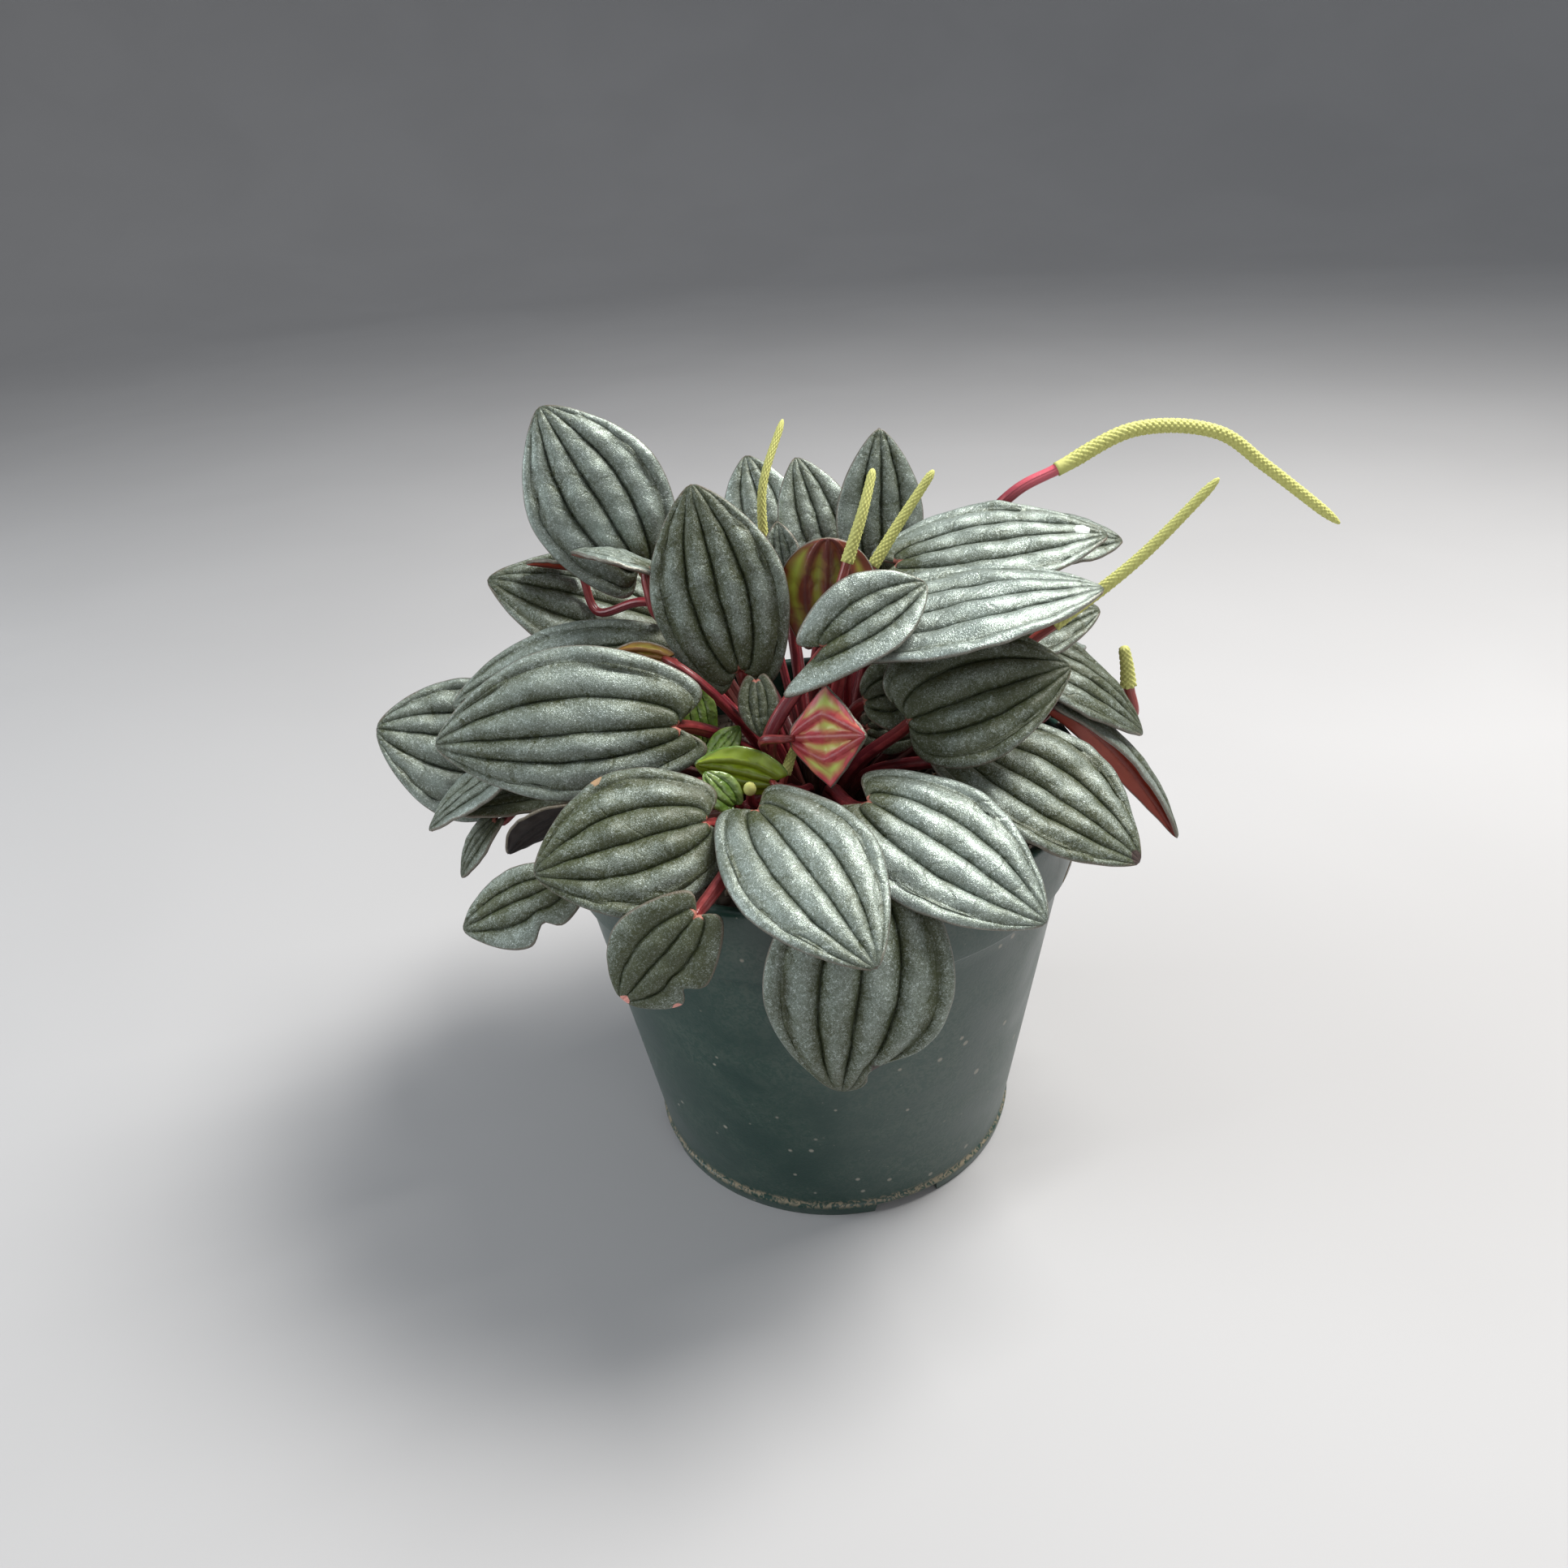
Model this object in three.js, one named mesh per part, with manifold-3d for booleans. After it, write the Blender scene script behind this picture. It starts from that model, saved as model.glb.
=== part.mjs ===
// A pearl peperomia growing in a plastic nursery pot.
// Millimetres, +Z up, with the origin on the ground under the middle of the whole plant's outline.
// -Y is the front. Each piece is laid out from the pot's axis, and the group is moved at the end.
import * as THREE from 'three';
import { mergeVertices } from 'three/addons/utils/BufferGeometryUtils.js';
import Module from 'manifold-3d';

// Where the middle of the plant's outline lies from the pot's axis, to the right and to the back
const PLANT_MIDDLE = [11.37, 2.99];

// The pot: four feet round its base, a tapered wall, and a deeper band under its rim
const POT_HEIGHT = 83;
const RIM_RADIUS = 51;
const BAND_RADIUS = 49.7;
const BAND_HEIGHT = 15.5;
const BASE_RADIUS = 38.2;
const STEP_WIDTH = 1.6;
const WALL = 1.5;
const RIM_THICKNESS = 2.1;
const EDGE_ROUND = 0.4;
const FOOT_HEIGHT = 2.8;
const FOOT_WIDTH = 2.2;
const FOOT_SLOPE = 0.8;
const FOOT_RIDGE = 0.5;
const FLOOR_THICKNESS = 1.6;
const FOOT_GAP_ANGLE = 22;
const FOOT_GAP_HEIGHT = 2.5;
const FOOT_GAP_DEPTH = 12;
const FIRST_GAP = -69.4;
const FEET = 4;
const DRAIN_RADIUS = 3.2;
const DRAIN_CIRCLE = 24;
const DRAIN_SIDES = 10;
const POT_SIDES = 36;

// The soil and the hole that the crown of stems stands in
const SOIL_TOP = 73;
const SOIL_MOUND = 1.6;
const SOIL_RING = 32;
const CROWN_RADIUS = 12;
const CROWN_DEPTH = 7;
const CROWN_RISE = 2.5;
const CROWN_SIDES = 10;
const GAP = 0.35;
const SOIL_SIDES = 20;

// The crown's outline from its foot up: how far in from its full radius, and its height on the soil
const CROWN_OUTLINE = [
  [2, GAP - CROWN_DEPTH],
  [0, -3],
  [1.5, CROWN_RISE - 0.5],
  [5, CROWN_RISE + 1],
  [CROWN_RADIUS, CROWN_RISE + 1.5],
];

// A leaf: its thickness, and the ridges that puff up between its veins, as a share of its width.
// Rows of points run across it at the shares of its length in ALONG, the points of a row lie at the
// shares of its half width in ACROSS, and a vein runs at each share in VEINS. Leaves of LARGE_WIDTH
// or more have more of each.
const BLADE_THICKNESS = 1;
const RIDGE_HEIGHT = 0.055;
const RIDGE_FLATNESS = 2.2;
const LARGE_ACROSS = [-1, -0.8, -0.6, -0.41, -0.28, -0.13, 0, 0.13, 0.28, 0.41, 0.6, 0.8, 1];
const SMALL_ACROSS = [-1, -0.72, -0.45, -0.22, 0, 0.22, 0.45, 0.72, 1];
const LARGE_VEINS = [-1.06, -0.8, -0.41, 0, 0.41, 0.8, 1.06];
const SMALL_VEINS = [-1.2, -0.45, 0, 0.45, 1.2];
const LARGE_ALONG = [0.08, 0.25, 0.46, 0.68, 0.87];
const SMALL_ALONG = [0.1, 0.32, 0.6, 0.85];
const LARGE_WIDTH = 17.5;
const BACK_LOBES = [0.26, 0.26];
const LOBE_CURVE = 1.3;
const LOBE_START = 0.03;
const BELLY = 0.8;
const ROUND = 0.72;
const ARCH = 12;
const TUCK = 0.65;

// Stalks: thicker at the crown than at the leaf, and thin ones under small leaves
const STALK_SIDES = 5;
const STALK_STEPS = 4;
const STALK_RADIUS = 1.25;
const THIN_STALK = 0.8;
const THIN_STALK_WIDTH = 12;
const STALK_FOOT = 1.15;
const STALK_TAPER = 0.25;
const STALK_RISE = 0.75;

// Flower spikes, with bumps in a spiral and a round tip
const SPIKE_SIDES = 8;
const SPIKE_STEP = 3.4;
const SPIKE_TAPER = 0.35;
const SPIKE_ROUND = 0.1;
const SPIKE_BUMP = 0.1;
const SPIKE_FOOT_SHARE = 0.85;

// One row a leaf. at is where the stalk joins the blade, tip is its point, and face is the way
// its upper side looks. arch bends it along its length, cup rolls its sides up, and fold lifts its
// two halves about the midrib, in degrees. lobes are how far the two sides of the base reach back
// past the stalk, as a share of the length, and sides is how the width is shared between them.
// belly moves the widest place towards the tip as it grows, and round is small for a full leaf and
// large for a pointed one. kite is 1 for a blade with straight sides and a corner on each, and 0 for
// a rounded one. tuck is 1 where the stalk comes from straight below the blade and 0 where it comes
// up between the lobes. via is a point that the stalk bows over on its way, and stalk its radius.
const LEAVES = [
  { name: 'leaf_top_1', at: [-31, 9, 121.5], tip: [-46, 15, 149.5], width: 26,
    face: [0.1, -1, 0.35], arch: 14, cup: -14, tuck: 0.4 },
  { name: 'leaf_top_2', at: [-13, -8, 107], tip: [-19, 0, 138], width: 24,
    face: [0, -1, 0.3], arch: 16, cup: -12, tuck: 0.15 },
  { name: 'leaf_top_3', at: [2.5, -22, 116], tip: [19.5, -16, 123.5], width: 15,
    face: [-0.15, -0.8, 0.6], arch: 14, cup: 0, fold: 14, lobes: [0.85, 0.35], via: [-8, -21, 99] },
  { name: 'leaf_top_4', at: [6.5, -16, 114.5], tip: [49, -15, 120.5], width: 25,
    face: [0, -0.2, 0.98], arch: 20, cup: -12, lobes: [0.08, 0.08] },
  { name: 'leaf_top_5', at: [17, 8, 119], tip: [55, 8, 122], width: 24,
    face: [0, -0.35, 0.95], arch: 20, cup: -12 },
  { name: 'leaf_top_6', at: [41, 16, 118], tip: [60, 16, 118], width: 14,
    face: [0.1, -0.4, 0.95], arch: 20, cup: 0 },
  { name: 'leaf_top_7', at: [14, 19, 112], tip: [15, 24, 140], width: 17,
    face: [0.2, -1, 0.2], arch: 12, cup: -10, tuck: 0.4 },
  { name: 'leaf_top_8', at: [5, 22, 114], tip: [-1, 30, 134], width: 15,
    face: [0.2, -1, 0.3], arch: 12, cup: -8, tuck: 0.4 },
  { name: 'leaf_top_9', at: [-6, 28, 114], tip: [-11, 38, 133], width: 16,
    face: [0, -1, 0.3], arch: 12, cup: -8, tuck: 0.4 },
  { name: 'leaf_top_10', at: [3, -6, 111], tip: [4, -4, 128.5], width: 17,
    face: [0, 1, -0.1], arch: 10, cup: 14, belly: 1, round: 0.5, tuck: 0.3 },
  { name: 'leaf_left_1', at: [-29, 17, 106.5], tip: [-60, 11, 119.5], width: 25,
    face: [-0.2, -0.5, 0.85], arch: 20, cup: -10, sides: [0.42, 0.58] },
  { name: 'leaf_left_2', at: [-28, -1, 123.5], tip: [-41.5, 1, 127], width: 13,
    face: [0, 0.2, 1], arch: 20, cup: 0, via: [-23, 5, 111] },
  { name: 'leaf_left_3', at: [-27, -6, 109], tip: [-65, -9, 103], width: 19,
    face: [-0.1, -0.75, 0.65], arch: 30, cup: -12 },
  { name: 'leaf_left_4', at: [-24, -20, 102], tip: [-65, -22, 102], width: 26.5,
    face: [-0.1, -0.9, 0.45], arch: 22, cup: -14, sides: [0.57, 0.43] },
  { name: 'leaf_left_5', at: [-55, 1, 89], tip: [-81, -6, 98], width: 27,
    face: [-0.3, -0.75, 0.55], arch: 22, cup: -8, lobes: [0.2, 0.2], sides: [0.42, 0.58],
    round: 0.65, tuck: 0.2, via: [-44, 4, 90] },
  { name: 'leaf_left_6', at: [-53, -17, 94.5], tip: [-70, -21, 84.5], width: 13,
    face: [-0.5, -0.2, 0.85], arch: 24, cup: 0, tuck: 0.3, via: [-40, -14, 95] },
  { name: 'leaf_left_7', at: [-41, -14, 88.5], tip: [-67, -16, 85], width: 15,
    face: [0, -0.1, 1], arch: 16, cup: 0, tuck: 0.3 },
  { name: 'leaf_left_8', at: [-58.5, -19, 84.5], tip: [-66.5, -20, 73.5], width: 7,
    face: [-0.6, -0.5, 0.6], arch: 24, cup: 0, tuck: 0.3, via: [-46, -21.5, 86] },
  { name: 'leaf_left_9', at: [-44, -36, 81.5], tip: [-61, -40, 76], width: 14,
    face: [-0.2, -0.7, 0.7], arch: 24, cup: -8, sides: [0.42, 0.58],
    tuck: 0.2, via: [-39, -33.5, 88] },
  { name: 'leaf_left_10', at: [-42, 12, 120], tip: [-52.5, 12, 122], width: 8,
    face: [0, 0.4, 0.9], arch: 10, cup: 0, via: [-28, 3.5, 115.5] },
  { name: 'leaf_left_11', at: [-43, -26, 89.5], tip: [-55, -27, 82.5], width: 12,
    face: [-0.3, 0.6, 0.5], arch: 20, cup: 0, tuck: 0.3 },
  { name: 'leaf_front_1', at: [-19, -36, 92], tip: [-46, -44, 89], width: 25,
    face: [-0.1, -0.75, 0.7], arch: 22, cup: -14 },
  { name: 'leaf_front_2', at: [-20, -52, 85], tip: [-32.5, -56, 72.5], width: 17,
    face: [-0.1, -0.95, 0.3], arch: 16, cup: -8, belly: 0.95, round: 0.6, tuck: 0.25 },
  { name: 'leaf_front_3', at: [-10, -36, 93.5], tip: [7, -64, 82.5], width: 24,
    face: [0, -0.5, 0.87], arch: 30, cup: -12 },
  { name: 'leaf_front_4', at: [8, -36, 94], tip: [34, -53, 81], width: 24,
    face: [0.2, -0.6, 0.8], arch: 26, cup: -12 },
  { name: 'leaf_front_5', at: [7, -49.2, 86], tip: [1, -59, 54], width: 30,
    face: [0, -1, 0.1], arch: 60, cup: -14, lobes: [0.22, 0.22], tuck: 1 },
  { name: 'leaf_right_1', at: [16, -22, 101.5], tip: [43.5, -18, 108], width: 26,
    face: [0, -0.7, 0.7], arch: 22, cup: -10, lobes: [0.1, 0.18], sides: [0.44, 0.56], belly: 0.66 },
  { name: 'leaf_right_2', at: [26, -19, 93.5], tip: [53.5, -34, 78.5], width: 27,
    face: [0.28, -0.45, 0.85], arch: 26, cup: -8, sides: [0.44, 0.56] },
  { name: 'leaf_right_3', at: [48, -2, 93], tip: [71.6, 0, 61], width: 12.5,
    face: [0.64, 0.59, 0.48], arch: 50, cup: 0, fold: -50, tuck: 0.3, stalk: 0.8 },
  { name: 'leaf_right_4', at: [35, 6, 102], tip: [63, 2, 84], width: 18,
    face: [0.3, -0.3, 0.9], arch: 50, cup: -8, sides: [0.55, 0.45] },
  { name: 'leaf_right_5', at: [46, 6, 89.5], tip: [59.5, 8, 85.5], width: 12,
    face: [0.1, 0.85, 0.5], arch: 20, cup: 0 },
  { name: 'leaf_right_6', at: [30, 0, 106], tip: [53, 2, 110], width: 18,
    face: [0, -0.4, 0.9], arch: 20, cup: -8 },
  { name: 'leaf_middle_1', at: [9, -13, 101.5], tip: [20, -11.5, 103], width: 13,
    face: [0.1, -0.8, 0.6], arch: 14, cup: -8, lobes: [0.1, 0.1] },
  { name: 'leaf_middle_2', at: [9.5, -9, 94], tip: [20, -8, 92.5], width: 9,
    face: [0.2, -0.9, 0.4], arch: 14, cup: -8 },
  { name: 'leaf_middle_3', at: [-4, -26, 101.5], tip: [8, -34, 105.5], width: 17,
    face: [0.3, 0.8, -0.4], arch: 16, cup: 10, lobes: [0.1, 0.1], round: 1.2, kite: 0.8, tuck: 0.1, via: [-8, -17.5, 94], stalk: 0.8 },
  { name: 'leaf_middle_4', at: [-10, -10, 105], tip: [-9.5, -16, 97], width: 7,
    face: [0, -0.8, 0.6], arch: 14, cup: 0 },
  { name: 'leaf_young_1', at: [-4, 10, 117], tip: [-5, 12, 127], width: 7,
    face: [0, -1, 0.2], arch: 10, cup: 8, fold: 12, tuck: 0.2 },
  { name: 'leaf_young_2', at: [-7.5, -25, 93], tip: [-20.5, -26.5, 98], width: 9,
    face: [0, 1, 0], arch: 16, cup: 14, tuck: 0.2 },
  { name: 'leaf_young_3', at: [-18.5, -16.5, 93.5], tip: [-13.5, -12.5, 97.5], width: 5,
    face: [0.2, -0.6, 0.7], arch: 14, cup: 8, tuck: 0.2 },
  { name: 'leaf_young_4', at: [-21, -10, 93], tip: [-22.5, -6.5, 105.5], width: 8,
    face: [0.6, -0.7, 0.2], arch: 14, cup: 8, tuck: 0.2 },
  { name: 'leaf_young_5', at: [-14.5, -29.5, 91.5], tip: [-19, -28, 97], width: 6,
    face: [0.2, -0.8, 0.6], arch: 14, cup: 0 },
  { name: 'leaf_young_6', at: [-25.5, -9, 110], tip: [-35, -10, 112], width: 5,
    face: [0, 1, -0.2], arch: 20, cup: 0 },
  { name: 'leaf_back_1', at: [-34, 30, 98], tip: [-64, 46, 86], width: 26,
    face: [-0.4, 0.4, 0.85], arch: 26, cup: -10 },
  { name: 'leaf_back_2', at: [-14, 36, 97], tip: [-24, 70, 84], width: 28,
    face: [-0.1, 0.5, 0.85], arch: 26, cup: -10 },
  { name: 'leaf_back_3', at: [14, 34, 98], tip: [20, 69, 86], width: 28,
    face: [0.1, 0.5, 0.85], arch: 26, cup: -10 },
  { name: 'leaf_back_4', at: [35, 28, 95], tip: [60, 48, 82], width: 25,
    face: [0.4, 0.4, 0.85], arch: 26, cup: -10 },
  { name: 'leaf_back_5', at: [-50, 16, 88], tip: [-74, 26, 78], width: 20,
    face: [-0.4, 0.1, 0.9], arch: 24, cup: -10 },
  { name: 'leaf_back_6', at: [42, 24, 92], tip: [62, 30, 80], width: 16,
    face: [0.4, 0.1, 0.9], arch: 24, cup: -10 },
  { name: 'leaf_back_7', at: [-22, 30, 112], tip: [-46, 54, 109], width: 25,
    face: [-0.3, 0.4, 0.9], arch: 24, cup: -10 },
  { name: 'leaf_back_8', at: [20, 30, 110], tip: [42, 56, 104], width: 25,
    face: [0.3, 0.4, 0.9], arch: 24, cup: -10 },
];

// One row a flower spike: the points that its axis runs through, and its radius near the foot
const SPIKES = [
  { name: 'spike_1', path: [[-8, 20, 118], [-7.5, 22, 131], [-3, 28, 142]], radius: 0.9 },
  { name: 'spike_2', path: [[7, -9, 126], [10, -7, 134], [12, -4, 140]], radius: 1, via: [1, -9.5, 110] },
  { name: 'spike_3', path: [[12, 0, 122], [17, 2, 129], [23, 4, 137]], radius: 1 },
  { name: 'spike_4',
    path: [[48.5, 22, 131], [63, 24, 137], [78.5, 24, 135.5], [88.5, 24, 128.5], [103.5, 22, 117]],
    radius: 1.35, via: [32, 21, 118] },
  { name: 'spike_5', path: [[43, -8, 112], [56, -8, 122.5], [68.5, -8, 136]],
    radius: 1.1, via: [33, -12, 103] },
  { name: 'spike_6', path: [[62.8, 13, 89.5], [62.2, 13, 93.5], [61.2, 13, 97.8]],
    radius: 1.4, via: [48, 17, 86] },
  { name: 'spike_7', path: [[-5.5, -20, 92], [-4.5, -19.5, 94.5], [-3, -19, 97.5]], radius: 0.9 },
];

// Flower buds on the stalks: where each ends, and the way it points
const BUDS = [
  { at: [-11.5, -30, 95.5], aim: [0, -0.5, 0.85], via: [-8, -24, 86] },
  { at: [-28.5, 1, 112], aim: [-0.4, -0.5, 0.75] },
];
const BUD_LENGTH = 3;
const BUD_RADIUS = 1.1;

const wasm = await Module();
wasm.setup();

const vec = (p) => new THREE.Vector3(p[0], p[1], p[2]);
const radians = THREE.MathUtils.degToRad;

// Solids: from a geometry to a manifold and back
function solidOf(geometry) {
  const bare = geometry.clone();
  bare.deleteAttribute('normal');
  bare.deleteAttribute('uv');
  const merged = mergeVertices(bare, 1e-4);
  const kept = [];
  const index = merged.index.array;
  for (let i = 0; i < index.length; i += 3) {
    const [a, b, c] = [index[i], index[i + 1], index[i + 2]];
    if (a !== b && b !== c && c !== a) kept.push(a, b, c);
  }
  return new wasm.Manifold(new wasm.Mesh({
    numProp: 3,
    vertProperties: new Float32Array(merged.attributes.position.array),
    triVerts: new Uint32Array(kept),
  }));
}

function geometryOf(solid) {
  const mesh = solid.getMesh();
  const geometry = new THREE.BufferGeometry();
  geometry.setAttribute('position', new THREE.BufferAttribute(new Float32Array(mesh.vertProperties), 3));
  geometry.setIndex(new THREE.BufferAttribute(new Uint32Array(mesh.triVerts), 1));
  geometry.computeVertexNormals();
  return geometry;
}

function meshGeometry(points, faces) {
  const geometry = new THREE.BufferGeometry();
  geometry.setAttribute('position', new THREE.Float32BufferAttribute(points.flatMap((p) => p.toArray()), 3));
  geometry.setIndex(faces);
  geometry.computeVertexNormals();
  return geometry;
}

// A closed body of rings of points, with a flat fan over the first and the last ring
function loft(rings) {
  const sides = rings[0].length;
  const points = rings.flat();
  const faces = [];
  for (let i = 0; i + 1 < rings.length; i += 1) {
    for (let j = 0; j < sides; j += 1) {
      const a = i * sides + j;
      const b = i * sides + ((j + 1) % sides);
      faces.push(a, b, b + sides, a, b + sides, a + sides);
    }
  }
  const last = (rings.length - 1) * sides;
  for (let j = 1; j + 1 < sides; j += 1) {
    faces.push(0, j + 1, j);
    faces.push(last, last + j, last + j + 1);
  }
  return meshGeometry(points, faces);
}

// A tube along a curve: radius(t, ring, side) is its radius at the share t of its length
function tube(curve, steps, sides, radius) {
  const frames = curve.computeFrenetFrames(steps, false);
  const rings = [];
  for (let i = 0; i <= steps; i += 1) {
    const t = i / steps;
    const centre = curve.getPointAt(t);
    const ring = [];
    for (let j = 0; j < sides; j += 1) {
      const angle = (2 * Math.PI * j) / sides;
      const r = radius(t, i, j);
      ring.push(centre.clone()
        .addScaledVector(frames.normals[i], r * Math.cos(angle))
        .addScaledVector(frames.binormals[i], r * Math.sin(angle)));
    }
    rings.push(ring);
  }
  return loft(rings);
}

// The blade of a leaf
function bladeFrame(leaf) {
  const at = vec(leaf.at);
  const along = vec(leaf.tip).sub(at);
  const length = along.length();
  along.normalize();
  const up = vec(leaf.face);
  up.addScaledVector(along, -up.dot(along)).normalize();
  const side = new THREE.Vector3().crossVectors(up, along);
  return { at, along, up, side, length };
}

// How high the ridge between two veins stands at a place across the blade, 0 to 1
function ridge(across, veins) {
  for (let i = 0; i + 1 < veins.length; i += 1) {
    if (across <= veins[i + 1]) {
      const t = (across - veins[i]) / (veins[i + 1] - veins[i]);
      return 1 - Math.abs(2 * t - 1) ** RIDGE_FLATNESS;
    }
  }
  return 0;
}

// The middle surface of a blade at u along it and v across it, -1 to 1
function bladePoint(leaf, frame, veins, u, v) {
  const half = leaf.width * (leaf.sides ?? [0.5, 0.5])[v < 0 ? 0 : 1];
  const bellied = u ** (leaf.belly ?? BELLY);
  const kite = leaf.kite ?? 0;
  const bow = Math.sin(Math.PI * bellied) ** (leaf.round ?? ROUND);
  const fullness = (1 - kite) * bow + kite * (1 - Math.abs(2 * bellied - 1));
  const lobe = (leaf.lobes ?? BACK_LOBES)[v < 0 ? 0 : 1];
  const back = u < 0.5 ? lobe * (1 - 2 * u) ** 2 * (1 - Math.exp(-u / LOBE_START)) : 0;
  const share = u - back * Math.abs(v) ** LOBE_CURVE;
  const roll = radians(leaf.cup ?? 0);
  const fold = radians(leaf.fold ?? 0);
  const w = Math.abs(v);
  const lean = fold + roll * w;
  const reach = half * fullness;
  const flat = Math.abs(roll) < 1e-6;
  const out = flat ? w * Math.cos(fold) : (Math.sin(lean) - Math.sin(fold)) / roll;
  const lift = flat ? w * Math.sin(fold) : (Math.cos(fold) - Math.cos(lean)) / roll;
  const puff = leaf.width * RIDGE_HEIGHT * ridge(v, veins) * Math.sin(Math.PI * u ** 0.8) ** 0.6;
  const z = reach * lift + puff;
  const arch = radians(leaf.arch ?? ARCH);
  const radius = frame.length / (2 * Math.sin(arch / 2));
  const angle = arch * (share - 0.5);
  const x = frame.length / 2 + (radius + z) * Math.sin(angle);
  const height = (radius + z) * Math.cos(angle) - radius * Math.cos(arch / 2);
  return frame.at.clone()
    .addScaledVector(frame.along, x)
    .addScaledVector(frame.side, Math.sign(v) * reach * out)
    .addScaledVector(frame.up, height);
}

function blade(leaf) {
  const frame = bladeFrame(leaf);
  const large = leaf.width >= LARGE_WIDTH;
  const across = large ? LARGE_ACROSS : SMALL_ACROSS;
  const veins = large ? LARGE_VEINS : SMALL_VEINS;
  const along = large ? LARGE_ALONG : SMALL_ALONG;
  const columns = across.length;
  const points = [bladePoint(leaf, frame, veins, 0, 0)];
  for (const u of along) {
    for (const v of across) points.push(bladePoint(leaf, frame, veins, u, v));
  }
  points.push(bladePoint(leaf, frame, veins, 1, 0));
  const tip = points.length - 1;
  const at = (row, column) => 1 + row * columns + column;
  const top = [];
  for (let j = 0; j + 1 < columns; j += 1) {
    top.push([0, at(0, j), at(0, j + 1)]);
    for (let i = 0; i + 1 < along.length; i += 1) {
      const [a, b, c, d] = [at(i, j), at(i, j + 1), at(i + 1, j + 1), at(i + 1, j)];
      top.push([a, c, b], [a, d, c]);
    }
    top.push([tip, at(along.length - 1, j + 1), at(along.length - 1, j)]);
  }
  const edge = [0];
  for (let i = 0; i < along.length; i += 1) edge.push(at(i, 0));
  edge.push(tip);
  for (let i = along.length - 1; i >= 0; i -= 1) edge.push(at(i, columns - 1));

  // Vertex normals of the middle surface, which the two faces are set off along
  const normals = points.map(() => new THREE.Vector3());
  for (const [a, b, c] of top) {
    const ab = points[b].clone().sub(points[a]);
    const ac = points[c].clone().sub(points[a]);
    const normal = ab.cross(ac);
    for (const k of [a, b, c]) normals[k].add(normal);
  }
  normals.forEach((normal) => normal.normalize());
  const count = points.length;
  const upper = points.map((p, k) => p.clone().addScaledVector(normals[k], BLADE_THICKNESS / 2));
  const lower = points.map((p, k) => p.clone().addScaledVector(normals[k], -BLADE_THICKNESS / 2));
  const faces = [];
  for (const [a, b, c] of top) faces.push(a, b, c, count + a, count + c, count + b);
  for (let i = 0; i < edge.length; i += 1) {
    const a = edge[i];
    const b = edge[(i + 1) % edge.length];
    faces.push(b, a, count + a, b, count + a, count + b);
  }
  return meshGeometry([...upper, ...lower], faces);
}

// The pot, turned in one piece and then cut between its feet and at its drain holes
function pot() {
  const bandFoot = POT_HEIGHT - BAND_HEIGHT;
  const neck = BAND_RADIUS - STEP_WIDTH;
  const floor = FOOT_HEIGHT + FLOOR_THICKNESS;
  const profile = [
    [0, FOOT_HEIGHT],
    [BASE_RADIUS - FOOT_WIDTH - FOOT_SLOPE, FOOT_HEIGHT],
    [BASE_RADIUS - FOOT_WIDTH, 0],
    [BASE_RADIUS, 0],
    [BASE_RADIUS + FOOT_RIDGE, FOOT_HEIGHT - FOOT_RIDGE],
    [BASE_RADIUS + FOOT_RIDGE, FOOT_HEIGHT],
    [BASE_RADIUS, FOOT_HEIGHT + FOOT_RIDGE],
    [neck, bandFoot - EDGE_ROUND / 2],
    [BAND_RADIUS - EDGE_ROUND, bandFoot],
    [BAND_RADIUS, bandFoot + EDGE_ROUND],
    [RIM_RADIUS, POT_HEIGHT - 2 * EDGE_ROUND],
    [RIM_RADIUS - EDGE_ROUND, POT_HEIGHT],
    [RIM_RADIUS - RIM_THICKNESS + EDGE_ROUND, POT_HEIGHT],
    [RIM_RADIUS - RIM_THICKNESS, POT_HEIGHT - 2 * EDGE_ROUND],
    [BAND_RADIUS - WALL, bandFoot + WALL],
    [neck - WALL, bandFoot - EDGE_ROUND],
    [BASE_RADIUS - WALL, floor],
    [0, floor],
  ].map(([r, z]) => new THREE.Vector2(r, z));
  let body = solidOf(new THREE.LatheGeometry(profile, POT_SIDES).rotateX(Math.PI / 2));
  for (let k = 0; k < FEET; k += 1) {
    const turn = radians(FIRST_GAP + (k * 360) / FEET);
    const width = 2 * BASE_RADIUS * Math.sin(radians(FOOT_GAP_ANGLE / 2));
    const notch = new THREE.BoxGeometry(FOOT_GAP_DEPTH, width, 2 * FOOT_GAP_HEIGHT);
    notch.translate(BASE_RADIUS, 0, 0).rotateZ(turn);
    body = body.subtract(solidOf(notch));
    const drain = new THREE.CylinderGeometry(DRAIN_RADIUS, DRAIN_RADIUS, 4 * floor, DRAIN_SIDES);
    drain.rotateX(Math.PI / 2).translate(DRAIN_CIRCLE, 0, 0).rotateZ(turn);
    body = body.subtract(solidOf(drain));
  }
  return geometryOf(body);
}

// The height of the soil at a point: a mound to the middle with small lumps on it
function soilHeight(radius, angle) {
  const mound = SOIL_MOUND * (1 - (radius / BAND_RADIUS) ** 2);
  return SOIL_TOP + mound + 0.5 * Math.sin(5 * angle + radius) + 0.4 * Math.cos(9 * angle - 0.6 * radius);
}

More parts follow.
